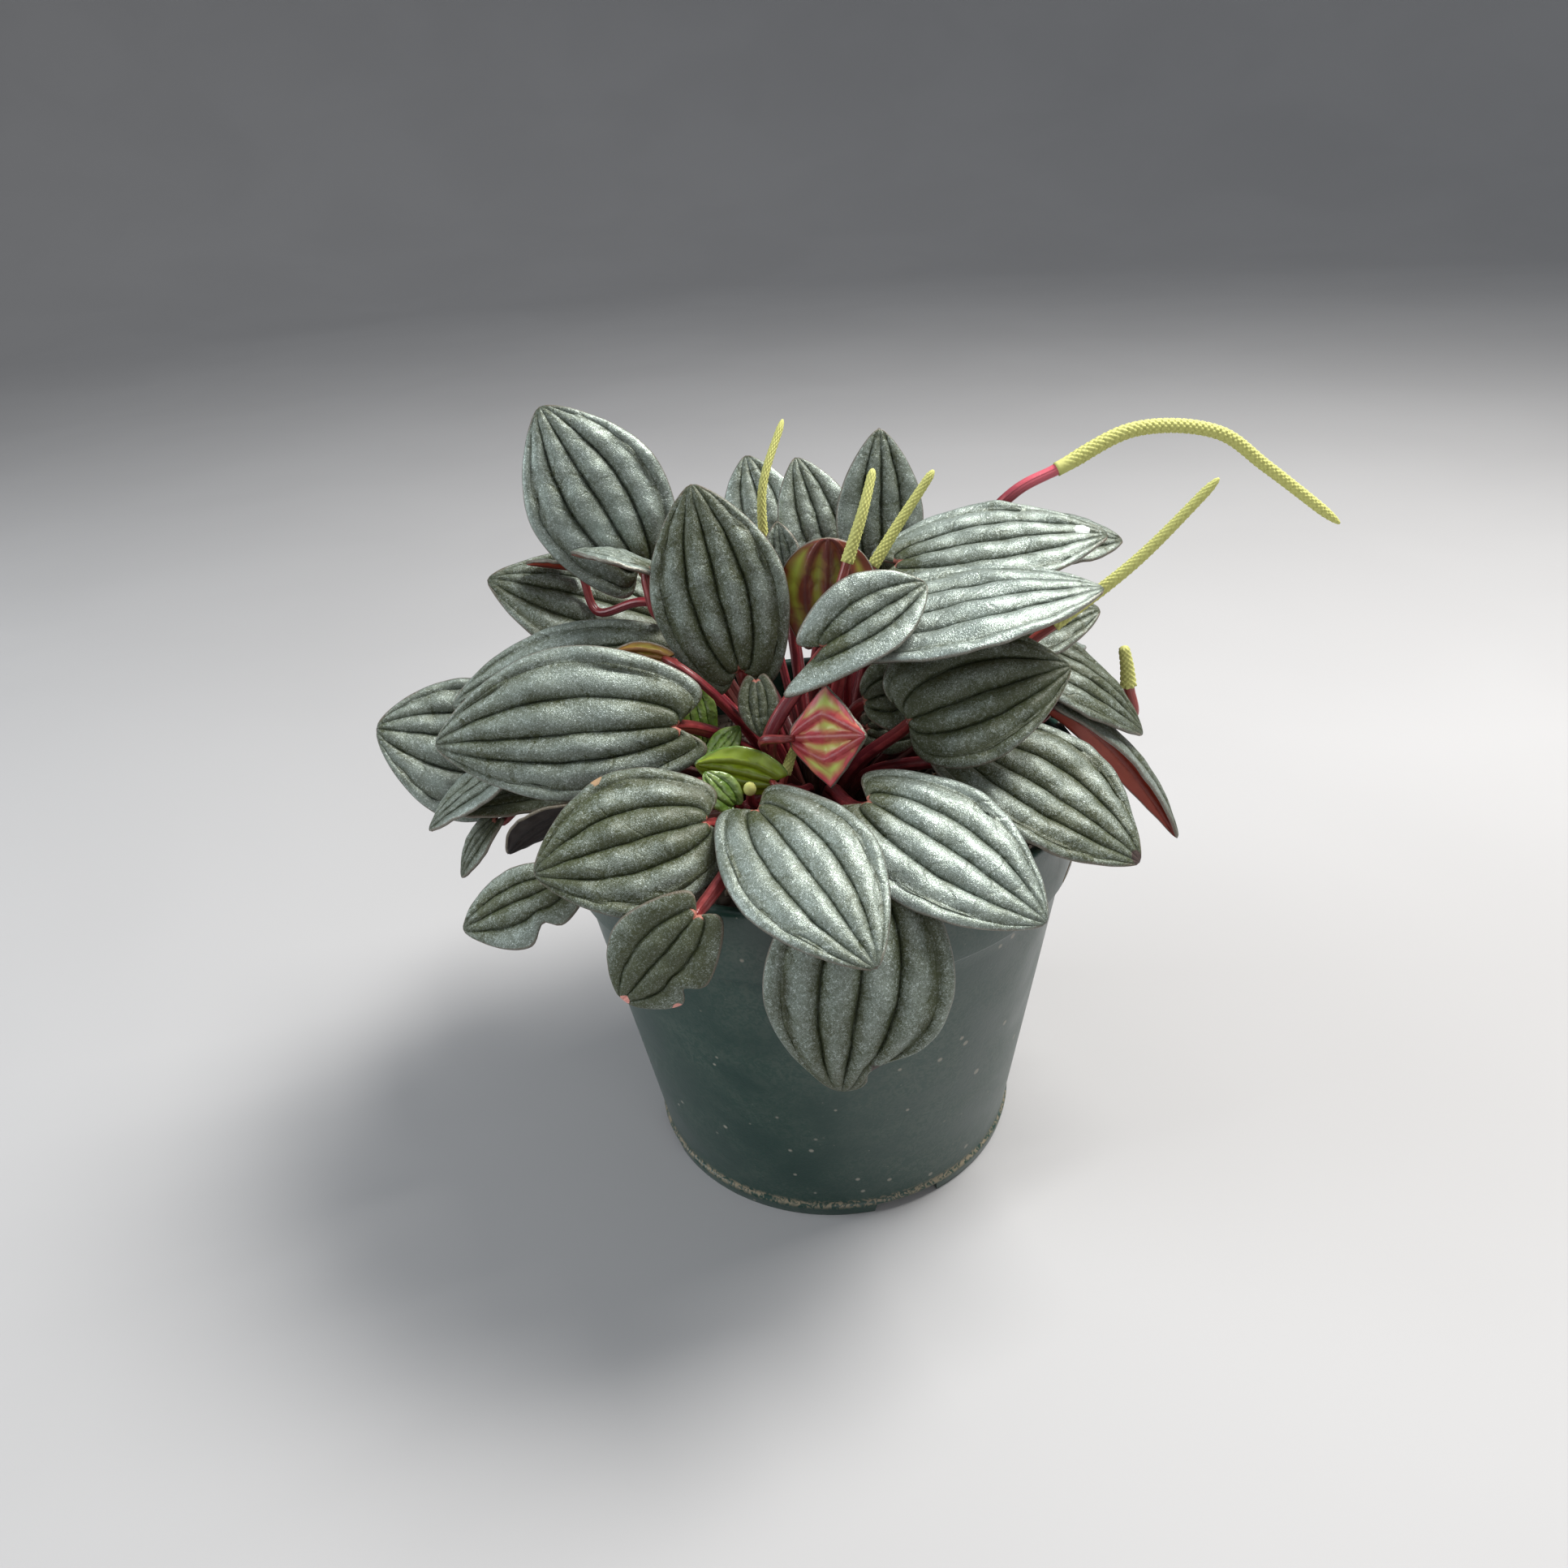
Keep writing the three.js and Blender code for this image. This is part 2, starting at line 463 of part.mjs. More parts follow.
function soil() {
  const bandFoot = POT_HEIGHT - BAND_HEIGHT;
  const inset = WALL + 2 * GAP;
  const floor = FOOT_HEIGHT + FLOOR_THICKNESS + GAP;
  const outer = BAND_RADIUS - inset;
  const hole = CROWN_RADIUS + 2 * GAP;
  const rings = [
    [BASE_RADIUS - inset, floor, false],
    [BAND_RADIUS - STEP_WIDTH - inset, bandFoot - 2 * EDGE_ROUND, false],
    [outer, bandFoot + WALL + 2 * GAP, false],
    [outer, SOIL_TOP, true],
    [SOIL_RING, SOIL_TOP, true],
    [hole, SOIL_TOP, true],
    [hole, SOIL_TOP - CROWN_DEPTH, false],
  ];
  const points = rings.map(([radius, height, lumpy]) => {
    const ring = [];
    for (let j = 0; j < SOIL_SIDES; j += 1) {
      const angle = (2 * Math.PI * j) / SOIL_SIDES;
      const z = lumpy ? soilHeight(radius, angle) : height;
      ring.push(new THREE.Vector3(radius * Math.cos(angle), radius * Math.sin(angle), z));
    }
    return ring;
  });
  return loft(points);
}

// Where a stalk leaves the crown for a leaf or a spike that stands at a point
function crownPoint(target) {
  const reach = Math.min(CROWN_RADIUS - 4, 1 + Math.hypot(target.x, target.y) * 0.16);
  const angle = Math.atan2(target.y, target.x);
  return new THREE.Vector3(reach * Math.cos(angle), reach * Math.sin(angle), SOIL_TOP + CROWN_RISE);
}

// A stalk from the crown to its end, bowed over a point on the way where its row gives one
function stalk(row, end, arrive, radius) {
  const foot = crownPoint(row.via ? vec(row.via) : end);
  const span = foot.distanceTo(end);
  const out = new THREE.Vector3(foot.x, foot.y, 0).normalize();
  const leave = out.multiplyScalar(1 - STALK_RISE).add(new THREE.Vector3(0, 0, STALK_RISE)).normalize();
  const before = end.clone().addScaledVector(arrive, -span * 0.12);
  const curve = row.via
    ? new THREE.CatmullRomCurve3([foot, vec(row.via), before, end], false, 'centripetal')
    : new THREE.CubicBezierCurve3(
      foot,
      foot.clone().addScaledVector(leave, span * 0.4),
      end.clone().addScaledVector(arrive, -span * 0.3),
      end,
    );
  const steps = row.via ? STALK_STEPS + 1 : STALK_STEPS;
  return tube(curve, steps, STALK_SIDES, (t) => radius * (STALK_FOOT - STALK_TAPER * t));
}

function leafStalk(leaf) {
  const frame = bladeFrame(leaf);
  const tuck = leaf.tuck ?? TUCK;
  const radius = leaf.stalk ?? (leaf.width > THIN_STALK_WIDTH ? STALK_RADIUS : THIN_STALK);
  const arrive = frame.along.clone().multiplyScalar(1 - tuck).addScaledVector(frame.up, tuck).normalize();
  const below = BLADE_THICKNESS / 2 + GAP + radius * 0.9 * Math.max(0, arrive.dot(frame.along));
  const end = frame.at.clone().addScaledVector(frame.up, -below);
  return stalk(leaf, end, arrive, radius);
}

function spikeCurve(spike) {
  return new THREE.CatmullRomCurve3(spike.path.map(vec), false, 'centripetal');
}

function spikeStalk(spike) {
  const curve = spikeCurve(spike);
  const arrive = curve.getTangent(0);
  const end = curve.getPoint(0).addScaledVector(arrive, -GAP);
  return stalk(spike, end, arrive, spike.radius * SPIKE_FOOT_SHARE);
}

// A bud and the thin stalk that it ends
function bud(row) {
  const tip = vec(row.at);
  const aim = vec(row.aim).normalize();
  const base = tip.clone().addScaledVector(aim, -BUD_LENGTH);
  const head = tube(new THREE.LineCurve3(base, tip), 3, STALK_SIDES, (t) => BUD_RADIUS * (1 - 0.6 * t ** 3));
  const foot = stalk(row, base.clone().addScaledVector(aim, 0.5), aim, THIN_STALK);
  return solidOf(head).add(solidOf(foot));
}

// All the stalks, grown together at the crown
function stems() {
  const foot = CROWN_OUTLINE[0][1];
  const profile = [[CROWN_RADIUS, foot], ...CROWN_OUTLINE]
    .map(([inset, height]) => new THREE.Vector2(CROWN_RADIUS - inset, SOIL_TOP + height));
  let body = solidOf(new THREE.LatheGeometry(profile, CROWN_SIDES).rotateX(Math.PI / 2));
  for (const leaf of LEAVES) body = body.add(solidOf(leafStalk(leaf)));
  for (const spike of SPIKES) body = body.add(solidOf(spikeStalk(spike)));
  for (const row of BUDS) body = body.add(bud(row));
  return geometryOf(body);
}

// A flower spike: a tapered curved finger covered in small bumps
function spikeBody(spike) {
  const curve = spikeCurve(spike);
  const steps = Math.max(6, Math.round(curve.getLength() / SPIKE_STEP));
  return tube(curve, steps, SPIKE_SIDES, (t, ring, side) => {
    const near = Math.max(0, (t - 1 + SPIKE_ROUND) / (1.15 * SPIKE_ROUND));
    const bump = (ring + side) % 2 === 0 ? 1 + SPIKE_BUMP : 1 - SPIKE_BUMP;
    return spike.radius * (1 - SPIKE_TAPER * t) * Math.sqrt(1 - near ** 2) * bump;
  });
}

const finish = (color, roughness) => new THREE.MeshStandardMaterial({ color, roughness, metalness: 0 });
const UNDERSIDES = ['leaf_top_10', 'leaf_middle_3'];

function leafFinish(name) {
  if (name.startsWith('leaf_young')) return finish(0x7f9440, 0.35);
  if (UNDERSIDES.includes(name)) return finish(0x8a4a38, 0.5);
  return finish(0x8f9c8f, 0.45);
}

const plant = new THREE.Group();
plant.position.set(-PLANT_MIDDLE[0], -PLANT_MIDDLE[1], 0);
function place(name, geometry, material) {
  const mesh = new THREE.Mesh(geometry, material);
  mesh.name = name;
  plant.add(mesh);
}

place('pot', pot(), finish(0x33433a, 0.4));
place('soil', soil(), finish(0x2a1f18, 0.95));
place('stems', stems(), finish(0x8c2f30, 0.5));
for (const leaf of LEAVES) place(leaf.name, blade(leaf), leafFinish(leaf.name));
for (const spike of SPIKES) place(spike.name, spikeBody(spike), finish(0xb9c34f, 0.6));
export default plant;
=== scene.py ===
"""Dresses a pearl peperomia and the nursery pot that it grows in.

Every surface is laid out in millimetres from the pot's axis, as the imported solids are, and is moved
over the frame's origin and turned into metres as its mesh is made.
"""
import logging
from collections.abc import Callable
from dataclasses import dataclass
from enum import Enum

import bpy
import numpy as np
from mathutils import Matrix, Vector


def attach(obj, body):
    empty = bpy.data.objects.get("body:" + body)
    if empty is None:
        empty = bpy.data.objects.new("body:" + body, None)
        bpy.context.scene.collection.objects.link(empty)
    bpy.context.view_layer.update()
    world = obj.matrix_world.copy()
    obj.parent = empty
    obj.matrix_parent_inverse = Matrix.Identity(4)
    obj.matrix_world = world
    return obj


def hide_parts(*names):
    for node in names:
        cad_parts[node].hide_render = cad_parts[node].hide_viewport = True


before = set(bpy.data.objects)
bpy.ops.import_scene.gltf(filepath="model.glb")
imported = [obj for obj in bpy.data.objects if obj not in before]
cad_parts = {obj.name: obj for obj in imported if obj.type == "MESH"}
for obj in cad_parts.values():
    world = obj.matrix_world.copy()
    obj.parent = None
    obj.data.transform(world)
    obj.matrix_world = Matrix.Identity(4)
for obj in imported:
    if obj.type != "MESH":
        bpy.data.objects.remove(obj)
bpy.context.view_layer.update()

LOG = logging.getLogger("peperomia")
MM = 0.001
SEED = 7

# Where the middle of the plant's outline lies from the pot's axis, in millimetres
PLANT_MIDDLE = np.array([11.37, 2.99, 0])

Point = tuple[float, float, float]
Pair = tuple[float, float]
Colour = tuple[float, float, float, float]
Array = np.ndarray
Socket = bpy.types.NodeSocket


class Top(Enum):
    """The finish of a leaf's upper side."""

    SILVER = "leaf_top"
    FRESH = "leaf_fresh"


class Under(Enum):
    """The finish of a leaf's lower side."""

    PLAIN = "under_plain"
    MAROON = "under_maroon"
    PINK = "under_pink"
    DUSK = "under_dusk"
    # Painted shade: a near-black lower side for leaves that lie in deep shade
    LIME = "under_lime"
    AMBER = "under_amber"
    RUST = "under_rust"


class Wound(Enum):
    """The colour of a scar on a leaf."""

    TAN = (0.42, 0.27, 0.15)
    PINK = (0.75, 0.33, 0.28)
    PALE = (0.80, 0.84, 0.82)
    DARK = (0.05, 0.03, 0.025)


def unit(vector: Array) -> Array:
    """The vector or vectors at a length of one."""
    length = np.linalg.norm(vector, axis=-1, keepdims=True)
    return vector / np.maximum(length, 1e-9)


def draws(label: str) -> np.random.Generator:
    """Random draws that are the same each run.

    Args:
        label: the name of the piece that they are for.

    Returns:
        A generator seeded from the name.
    """
    return np.random.default_rng([SEED, *label.encode()])


def smooth(value: Array, low: float, high: float) -> Array:
    """A share from 0 at low to 1 at high, with soft ends.

    Args:
        value: the values to grade.
        low: where the share leaves 0.
        high: where the share reaches 1.

    Returns:
        The shares, one for each value.
    """
    share = np.clip((value - low) / (high - low), 0, 1)
    return share * share * (3 - 2 * share)


def circle(sides: int) -> Array:
    """Angles evenly round a circle."""
    return 2 * np.pi * np.arange(sides) / sides


def hoop(radius: Array | float, angle: Array, height: Array | float) -> Array:
    """Points round an upright axis.

    Args:
        radius: how far each lies from the axis.
        angle: the way that each lies in.
        height: how high each lies.

    Returns:
        The points, one for each angle.
    """
    level = np.broadcast_to(height, angle.shape)
    return np.column_stack([radius * np.cos(angle), radius * np.sin(angle), level])


def link(name: str, data: bpy.types.ID) -> bpy.types.Object:
    """Puts an object into the scene.

    Args:
        name: its name.
        data: its mesh, camera or light.

    Returns:
        The object.
    """
    made = bpy.data.objects.new(name, data)
    bpy.context.scene.collection.objects.link(made)
    return made


# Curves

def bezier(points: Array, shares: Array) -> Array:
    """Points on a cubic curve.

    Args:
        points: its four handles.
        shares: where on it each point lies, 0 to 1.

    Returns:
        One point for each share.
    """
    t = shares[:, None]
    a, b, c, d = points
    return a * (1 - t) ** 3 + 3 * b * t * (1 - t) ** 2 + 3 * c * t * t * (1 - t) + d * t**3


def through(points: Array, shares: Array) -> Array:
    """Points on a smooth curve that runs through given ones.

    Args:
        points: the points that it runs through, in order.
        shares: where on it each point lies, 0 to 1.

    Returns:
        One point for each share.
    """
    first = 2 * points[0] - points[1]
    last = 2 * points[-1] - points[-2]
    knots = np.vstack([first, points, last])
    spans = len(points) - 1
    found = []
    for share in shares:
        place = min(share * spans, spans - 1e-9)
        k = int(place)
        t = place - k
        p0, p1, p2, p3 = knots[k:k + 4]
        d0, d1, d2 = (np.linalg.norm(b - a) ** 0.5 for a, b in ((p0, p1), (p1, p2), (p2, p3)))
        m1 = d1 * ((p1 - p0) / d0 - (p2 - p0) / (d0 + d1) + (p2 - p1) / d1)
        m2 = d1 * ((p2 - p1) / d1 - (p3 - p1) / (d1 + d2) + (p3 - p2) / d2)
        bend = -3 * p1 + 3 * p2 - 2 * m1 - m2
        found.append(p1 + m1 * t + bend * t * t + (2 * p1 - 2 * p2 + m1 + m2) * t**3)
    return np.array(found)


class Skin:
    """The points and faces of one mesh while it is put together, in millimetres."""

    def __init__(self, name: str) -> None:
        """Starts an empty mesh of that name."""
        self.name = name
        self.count = 0
        self.points: list[Array] = []
        self.faces: list[tuple[int, ...]] = []
        self.slots: list[int] = []
        self.values: dict[str, list[Array]] = {}

    def add(self, points: Array, faces: list[tuple[int, ...]], slot: int = 0, **values: Array) -> None:
        """Adds a shape.

        Args:
            points: its points, three numbers each.
            faces: its faces, as places in its own points.
            slot: the place of its material in the mesh's list.
            values: named numbers or colours for its points, one number for all of them or one each.
        """
        self.points.append(np.asarray(points, float))
        self.faces += [tuple(int(k) + self.count for k in face) for face in faces]
        self.slots += [slot] * len(faces)
        size = len(points)
        for name, value in values.items():
            wide = np.asarray(value, float)
            whole = wide if wide.ndim and len(wide) == size else np.broadcast_to(wide, (size, *wide.shape))
            self.values.setdefault(name, []).append(whole)
        self.count += size

    def mesh(self) -> bpy.types.Mesh:
        """The bare mesh, in the part's frame and in metres."""
        made = bpy.data.meshes.new(self.name)
        made.from_pydata(((np.vstack(self.points) - PLANT_MIDDLE) * MM).tolist(), [], self.faces)
        return made

    def piece(self, materials: list[bpy.types.Material], slot: str, *nodes: str) -> bpy.types.Object:
        """Makes the mesh's object, which rides on the part.

        Args:
            materials: the mesh's materials, in the order of its slots.
            slot: the record's material slot; not used.
            nodes: the solids that the object stands for.

        Returns:
            The object.
        """
        mesh = self.mesh()
        mesh.polygons.foreach_set("material_index", self.slots)
        mesh.polygons.foreach_set("use_smooth", [True] * len(self.faces))
        for name, parts in self.values.items():
            whole = np.concatenate(parts)
            if whole.ndim == 2:
                kept = mesh.attributes.new(name, "FLOAT_COLOR", "POINT")
                kept.data.foreach_set("color", whole.astype(np.float32).ravel())
            else:
                kept = mesh.attributes.new(name, "FLOAT", "POINT")
                kept.data.foreach_set("value", whole.astype(np.float32))
        for material in materials:
            mesh.materials.append(material)
        mesh.update()
        made = link(self.name, mesh)
        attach(made, "root")
        if nodes:
            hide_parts(*nodes)
        LOG.info("%s: %d faces", self.name, len(self.faces))
        return made


def ring_faces(rings: int, sides: int, closed: bool = True) -> list[tuple[int, ...]]:
    """Faces over rings of points that follow each other.

    Args:
        rings: how many rings there are.
        sides: how many points each has.
        closed: whether a flat face closes the first and the last ring.

    Returns:
        The faces, pointing out where the rings turn left round their way.
    """
    faces = []
    for i in range(rings - 1):
        for j in range(sides):
            a, b = i * sides + j, i * sides + (j + 1) % sides
            faces.append((a, b, b + sides, a + sides))
    if closed:
        faces.append(tuple(reversed(range(sides))))
        faces.append(tuple((rings - 1) * sides + j for j in range(sides)))
    return faces


def tube(path: Array, radii: Array, sides: int) -> Array:
    """Rings of points round a path.

    Args:
        path: the middle of each ring.
        radii: the radius of each ring, or of each point of each ring.
        sides: how many points a ring has.

    Returns:
        The points, ring by ring.
    """
    ways = unit(np.gradient(path, axis=0))
    start = np.array([1.0, 0, 0]) if abs(ways[0][0]) < 0.8 else np.array([0, 1.0, 0])
    across = []
    for way in ways:
        start = unit(start - way * (start @ way))
        across.append(start)
    across = np.array(across)
    up = np.cross(ways, across)
    angle = circle(sides)
    wide = np.asarray(radii, float).reshape(len(path), -1, 1)
    spread = across[:, None] * np.cos(angle)[None, :, None] + up[:, None] * np.sin(angle)[None, :, None]
    return (path[:, None] + wide * spread).reshape(-1, 3)


# Materials

class Wiring:
    """Adds the nodes of one material or node group and links them."""

    def __init__(self, tree: bpy.types.NodeTree) -> None:
        """Starts on a tree."""
        self.tree = tree

    def node(self, kind: str, **settings: object) -> bpy.types.Node:
        """Adds a node.

        Args:
            kind: its type.
            settings: its own settings, by name.

        Returns:
            The node.
        """
        made = self.tree.nodes.new(kind)
        for name, value in settings.items():
            setattr(made, name, value)
        return made

    def feed(self, socket: Socket, value: Socket | float | Colour | Point) -> None:
        """Links a socket to another, or sets its value."""
        if isinstance(value, bpy.types.NodeSocket):
            self.tree.links.new(value, socket)
        else:
            socket.default_value = value

    def sum(self, operation: str, *values: Socket | float, clamp: bool = False) -> Socket:
        """Works out a number from others.

        Args:
            operation: the sum to do, such as ADD.
            values: what it is done with.
            clamp: whether the result is held between 0 and 1.

        Returns:
            The result.
        """
        made = self.node("ShaderNodeMath", operation=operation, use_clamp=clamp)
        for socket, value in zip(made.inputs, values):
            self.feed(socket, value)
        return made.outputs[0]

    def times(self, first: Socket | float, second: Socket | float) -> Socket:
        """The product of two numbers."""
        return self.sum("MULTIPLY", first, second)

    def plus(self, first: Socket | float, second: Socket | float, clamp: bool = False) -> Socket:
        """The sum of two numbers, held between 0 and 1 if clamp is set."""
        return self.sum("ADD", first, second, clamp=clamp)

    def less(self, first: Socket | float, second: Socket | float, clamp: bool = False) -> Socket:
        """The first number less the second, held between 0 and 1 if clamp is set."""
        return self.sum("SUBTRACT", first, second, clamp=clamp)

    def mix(self, share: Socket | float, low: Socket | Colour, high: Socket | Colour) -> Socket:
        """Mixes two colours.

        Args:
            share: how much of the second there is.
            low: the first colour.
            high: the second colour.

        Returns:
            The mixed colour.
        """
        made = self.node("ShaderNodeMix", data_type="RGBA")
        for place, value in ((0, share), (6, low), (7, high)):
            self.feed(made.inputs[place], value)
        return made.outputs[2]

    def span(self, value: Socket, low: float | Socket, high: float | Socket,
             to_low: float = 0.0, to_high: float = 1.0) -> Socket:
        """Grades a number between two others with soft ends.

        Args:
            value: the number.
            low: where the result is to_low.
            high: where the result is to_high.
            to_low: the result at low.
            to_high: the result at high.

        Returns:
            The result.
        """
        made = self.node("ShaderNodeMapRange", interpolation_type="SMOOTHSTEP")
        for place, part in enumerate((value, low, high, to_low, to_high)):
            self.feed(made.inputs[place], part)
        return made.outputs[0]

    def value(self, name: str) -> Socket:
        """A number that the mesh carries, by name."""
        return self.node("ShaderNodeAttribute", attribute_name=name).outputs["Fac"]

    def place(self, scale: Socket | float = 1000.0) -> Socket:
        """The place on the part, in millimetres unless another scale is given."""
        made = self.node("ShaderNodeVectorMath", operation="SCALE")
        self.tree.links.new(self.node("ShaderNodeTexCoord").outputs["Object"], made.inputs[0])
        self.feed(made.inputs["Scale"], scale)
        return made.outputs[0]

    def noise(self, where: Socket, scale: float, detail: float = 2.0, twist: float = 0.0) -> Socket:
        """Cloudy noise.

        Args:
            where: the place that it is read at.
            scale: how many clouds there are to a unit of that place.
            detail: how many finer layers it has.
            twist: how far it is pulled about.

        Returns:
            A number round 0.5.
        """
        made = self.node("ShaderNodeTexNoise")
        for name, value in (("Vector", where), ("Scale", scale), ("Detail", detail), ("Distortion", twist)):
            self.feed(made.inputs[name], value)
        return made.outputs["Fac"]

    def cells(self, where: Socket, scale: float) -> Socket:
        """The distance to the nearest of many scattered points, in units of their spacing."""
        made = self.node("ShaderNodeTexVoronoi")
        self.feed(made.inputs["Vector"], where)
        self.feed(made.inputs["Scale"], scale)
        return made.outputs["Distance"]


@dataclass(frozen=True)
class Effect:
    """A shader node group with named inputs and outputs, which several materials use."""

    name: str
    inputs: dict[str, float]
    outputs: tuple[str, ...]
    draw: Callable[[Wiring, dict[str, Socket]], dict[str, Socket]]

    def tree(self) -> bpy.types.NodeTree:
        """The group, which is built the first time that it is asked for."""
        kept = bpy.data.node_groups.get(self.name)
        if kept:
            return kept
        tree = bpy.data.node_groups.new(self.name, "ShaderNodeTree")
        for name, value in self.inputs.items():
            socket = tree.interface.new_socket(name, in_out="INPUT", socket_type="NodeSocketFloat")
            socket.default_value = value
        for name in self.outputs:
            tree.interface.new_socket(name, in_out="OUTPUT", socket_type="NodeSocketFloat")
        wiring = Wiring(tree)
        source = wiring.node("NodeGroupInput")
        target = wiring.node("NodeGroupOutput")
        drawn = self.draw(wiring, {name: source.outputs[name] for name in self.inputs})
        for name in self.outputs:
            tree.links.new(drawn[name], target.inputs[name])
        return tree

    def put(self, wiring: Wiring, **values: Socket | float) -> dict[str, Socket]:
        """Puts the group into a material.

        Args:
            wiring: the material's nodes.
            values: the inputs that differ from the group's own, by name.

        Returns:
            The group's outputs, by name.
        """
        made = wiring.node("ShaderNodeGroup", node_tree=self.tree())
        for name, value in values.items():
            wiring.feed(made.inputs[name], value)
        return {name: made.outputs[name] for name in self.outputs}


def draw_grain(w: Wiring, given: dict[str, Socket]) -> dict[str, Socket]:
    """Fine crystals in a leaf's skin: how bright each is, and how far it stands out.

    Args:
        w: the group's nodes.
        given: its size in millimetres.

    Returns:
        The brightness as fleck, and the height.
    """
    where = w.place(w.sum("DIVIDE", 1000.0, given["size"]))
    fine = w.noise(where, 1.0, 1.0, 1.5)
    coarse = w.noise(where, 0.4, 2.0, 0.8)
    both = w.plus(w.times(fine, 0.75), w.times(coarse, 0.25))
    fleck = w.span(both, 0.36, 0.64)
    return {"fleck": fleck, "height": both}


def draw_mottle(w: Wiring, given: dict[str, Socket]) -> dict[str, Socket]:
    """Soft uneven patches."""
    where = w.place(w.sum("DIVIDE", 1000.0, given["size"]))
    return {"share": w.span(w.noise(where, 1.0, 3.0, 0.4), 0.3, 0.7)}


def draw_specks(w: Wiring, given: dict[str, Socket]) -> dict[str, Socket]:
    """Small scattered spots of dust or dirt.

    Args:
        w: the group's nodes.
        given: the spacing of the spots in millimetres, and how much they cover.

    Returns:
        Where the spots are.
    """
    where = w.place(w.sum("DIVIDE", 1000.0, given["spacing"]))
    near = w.cells(where, 1.0)
    size = w.times(w.noise(where, 0.35, 1.0), given["cover"])
    return {"spot": w.span(w.less(size, near), 0.0, 0.06)}


def draw_veins(w: Wiring, given: dict[str, Socket]) -> dict[str, Socket]:
    """The lines on a blade: its main veins, side veins and margin, and the star at its stalk.

    Args:
        w: the group's nodes.
        given: the width of the grooves, the rim and the star, and the spacing of the side veins, all in
            millimetres.

    Returns:
        Where each kind of line is.
    """
    gap = w.value("vein_gap")
    where = w.place()
    ragged = w.times(w.less(w.noise(where, 0.7, 2.0), 0.5), 0.7)
    uneven = w.plus(gap, ragged)
    groove = w.span(uneven, given["groove"], 0.0)
    valley = w.span(uneven, w.times(given["groove"], 3.6), 0.1)
    bent = w.times(w.less(w.noise(where, 0.2, 2.0), 0.5), 9.0)
    along = w.less(w.value("along"), w.times(gap, 0.9))
    cycle = w.sum("DIVIDE", w.plus(along, bent), given["spacing"])
    line = w.sum("ABSOLUTE", w.less(w.sum("FRACT", cycle), 0.5))
    chance = w.span(w.noise(where, 0.2, 1.0), 0.38, 0.6)
    thin = w.span(line, w.sum("DIVIDE", 0.75, given["spacing"]), 0.0)
    reach = w.span(gap, 4.0, 0.6)
    veinlet = w.times(w.times(thin, chance), reach)
    rim = w.span(w.plus(w.value("rim_gap"), w.times(ragged, 0.4)), given["rim"], 0.0)
    ray = w.times(w.span(gap, 0.5, 0.0), given["star"])
    edge = w.plus(w.plus(w.times(given["star"], 0.5), ray), ragged)
    star = w.span(w.less(edge, w.value("star_gap")), -0.15, 0.35)
    return {"groove": groove, "valley": valley, "veinlet": veinlet, "rim": rim, "star": star}


GRAIN = Effect("grain", {"size": 0.4}, ("fleck", "height"), draw_grain)
MOTTLE = Effect("mottle", {"size": 8.0}, ("share",), draw_mottle)
SPECKS = Effect("specks", {"spacing": 4.0, "cover": 0.3}, ("spot",), draw_specks)
VEINS = Effect("veins", {"groove": 0.7, "rim": 0.35, "star": 1.2, "spacing": 4.2},
               ("groove", "valley", "veinlet", "rim", "star"), draw_veins)


@dataclass(frozen=True)
class Finish:
    """A finish with one main shader. Each kind adds its own colours."""

    name: str
    roughness: float = 0.5
    metallic: float = 0.0
    coat: float = 0.0
    coat_roughness: float = 0.2
    specular: float = 0.5
    subsurface: float = 0.0
    subsurface_depth: float = 0.8
    bump_depth: float = 0.08

    def material(self) -> bpy.types.Material:
        """The material, which is built the first time that it is asked for."""
        kept = bpy.data.materials.get(self.name)
        if kept:
            return kept
        made = bpy.data.materials.new(self.name)
        made.use_nodes = True
        made.node_tree.nodes.clear()
        wiring = Wiring(made.node_tree)
        shader = wiring.node("ShaderNodeBsdfPrincipled")
        output = wiring.node("ShaderNodeOutputMaterial")
        made.node_tree.links.new(shader.outputs[0], output.inputs[0])
        plain = {
            "Roughness": self.roughness,
            "Metallic": self.metallic,
            "Coat Weight": self.coat,
            "Coat Roughness": self.coat_roughness,
            "Specular IOR Level": self.specular,
            "Subsurface Weight": self.subsurface,
            "Subsurface Radius": (1.0, 0.45, 0.3),
            "Subsurface Scale": self.subsurface_depth * MM,
        }
        for socket, value in plain.items():
            shader.inputs[socket].default_value = value
        drawn = self.paint(wiring)
        height = drawn.pop("Height", None)
        for socket, value in drawn.items():
            wiring.feed(shader.inputs[socket], value)
        if height is not None:
            bump = wiring.node("ShaderNodeBump")
            bump.inputs["Distance"].default_value = self.bump_depth * MM
            made.node_tree.links.new(height, bump.inputs["Height"])
            made.node_tree.links.new(bump.outputs[0], shader.inputs["Normal"])
        return made

    def paint(self, w: Wiring) -> dict[str, Socket]:
        """Draws what changes over the surface.

        Args:
            w: the material's nodes.

        Returns:
            The shader's inputs by name, and the height of the surface as Height.
        """
        raise NotImplementedError


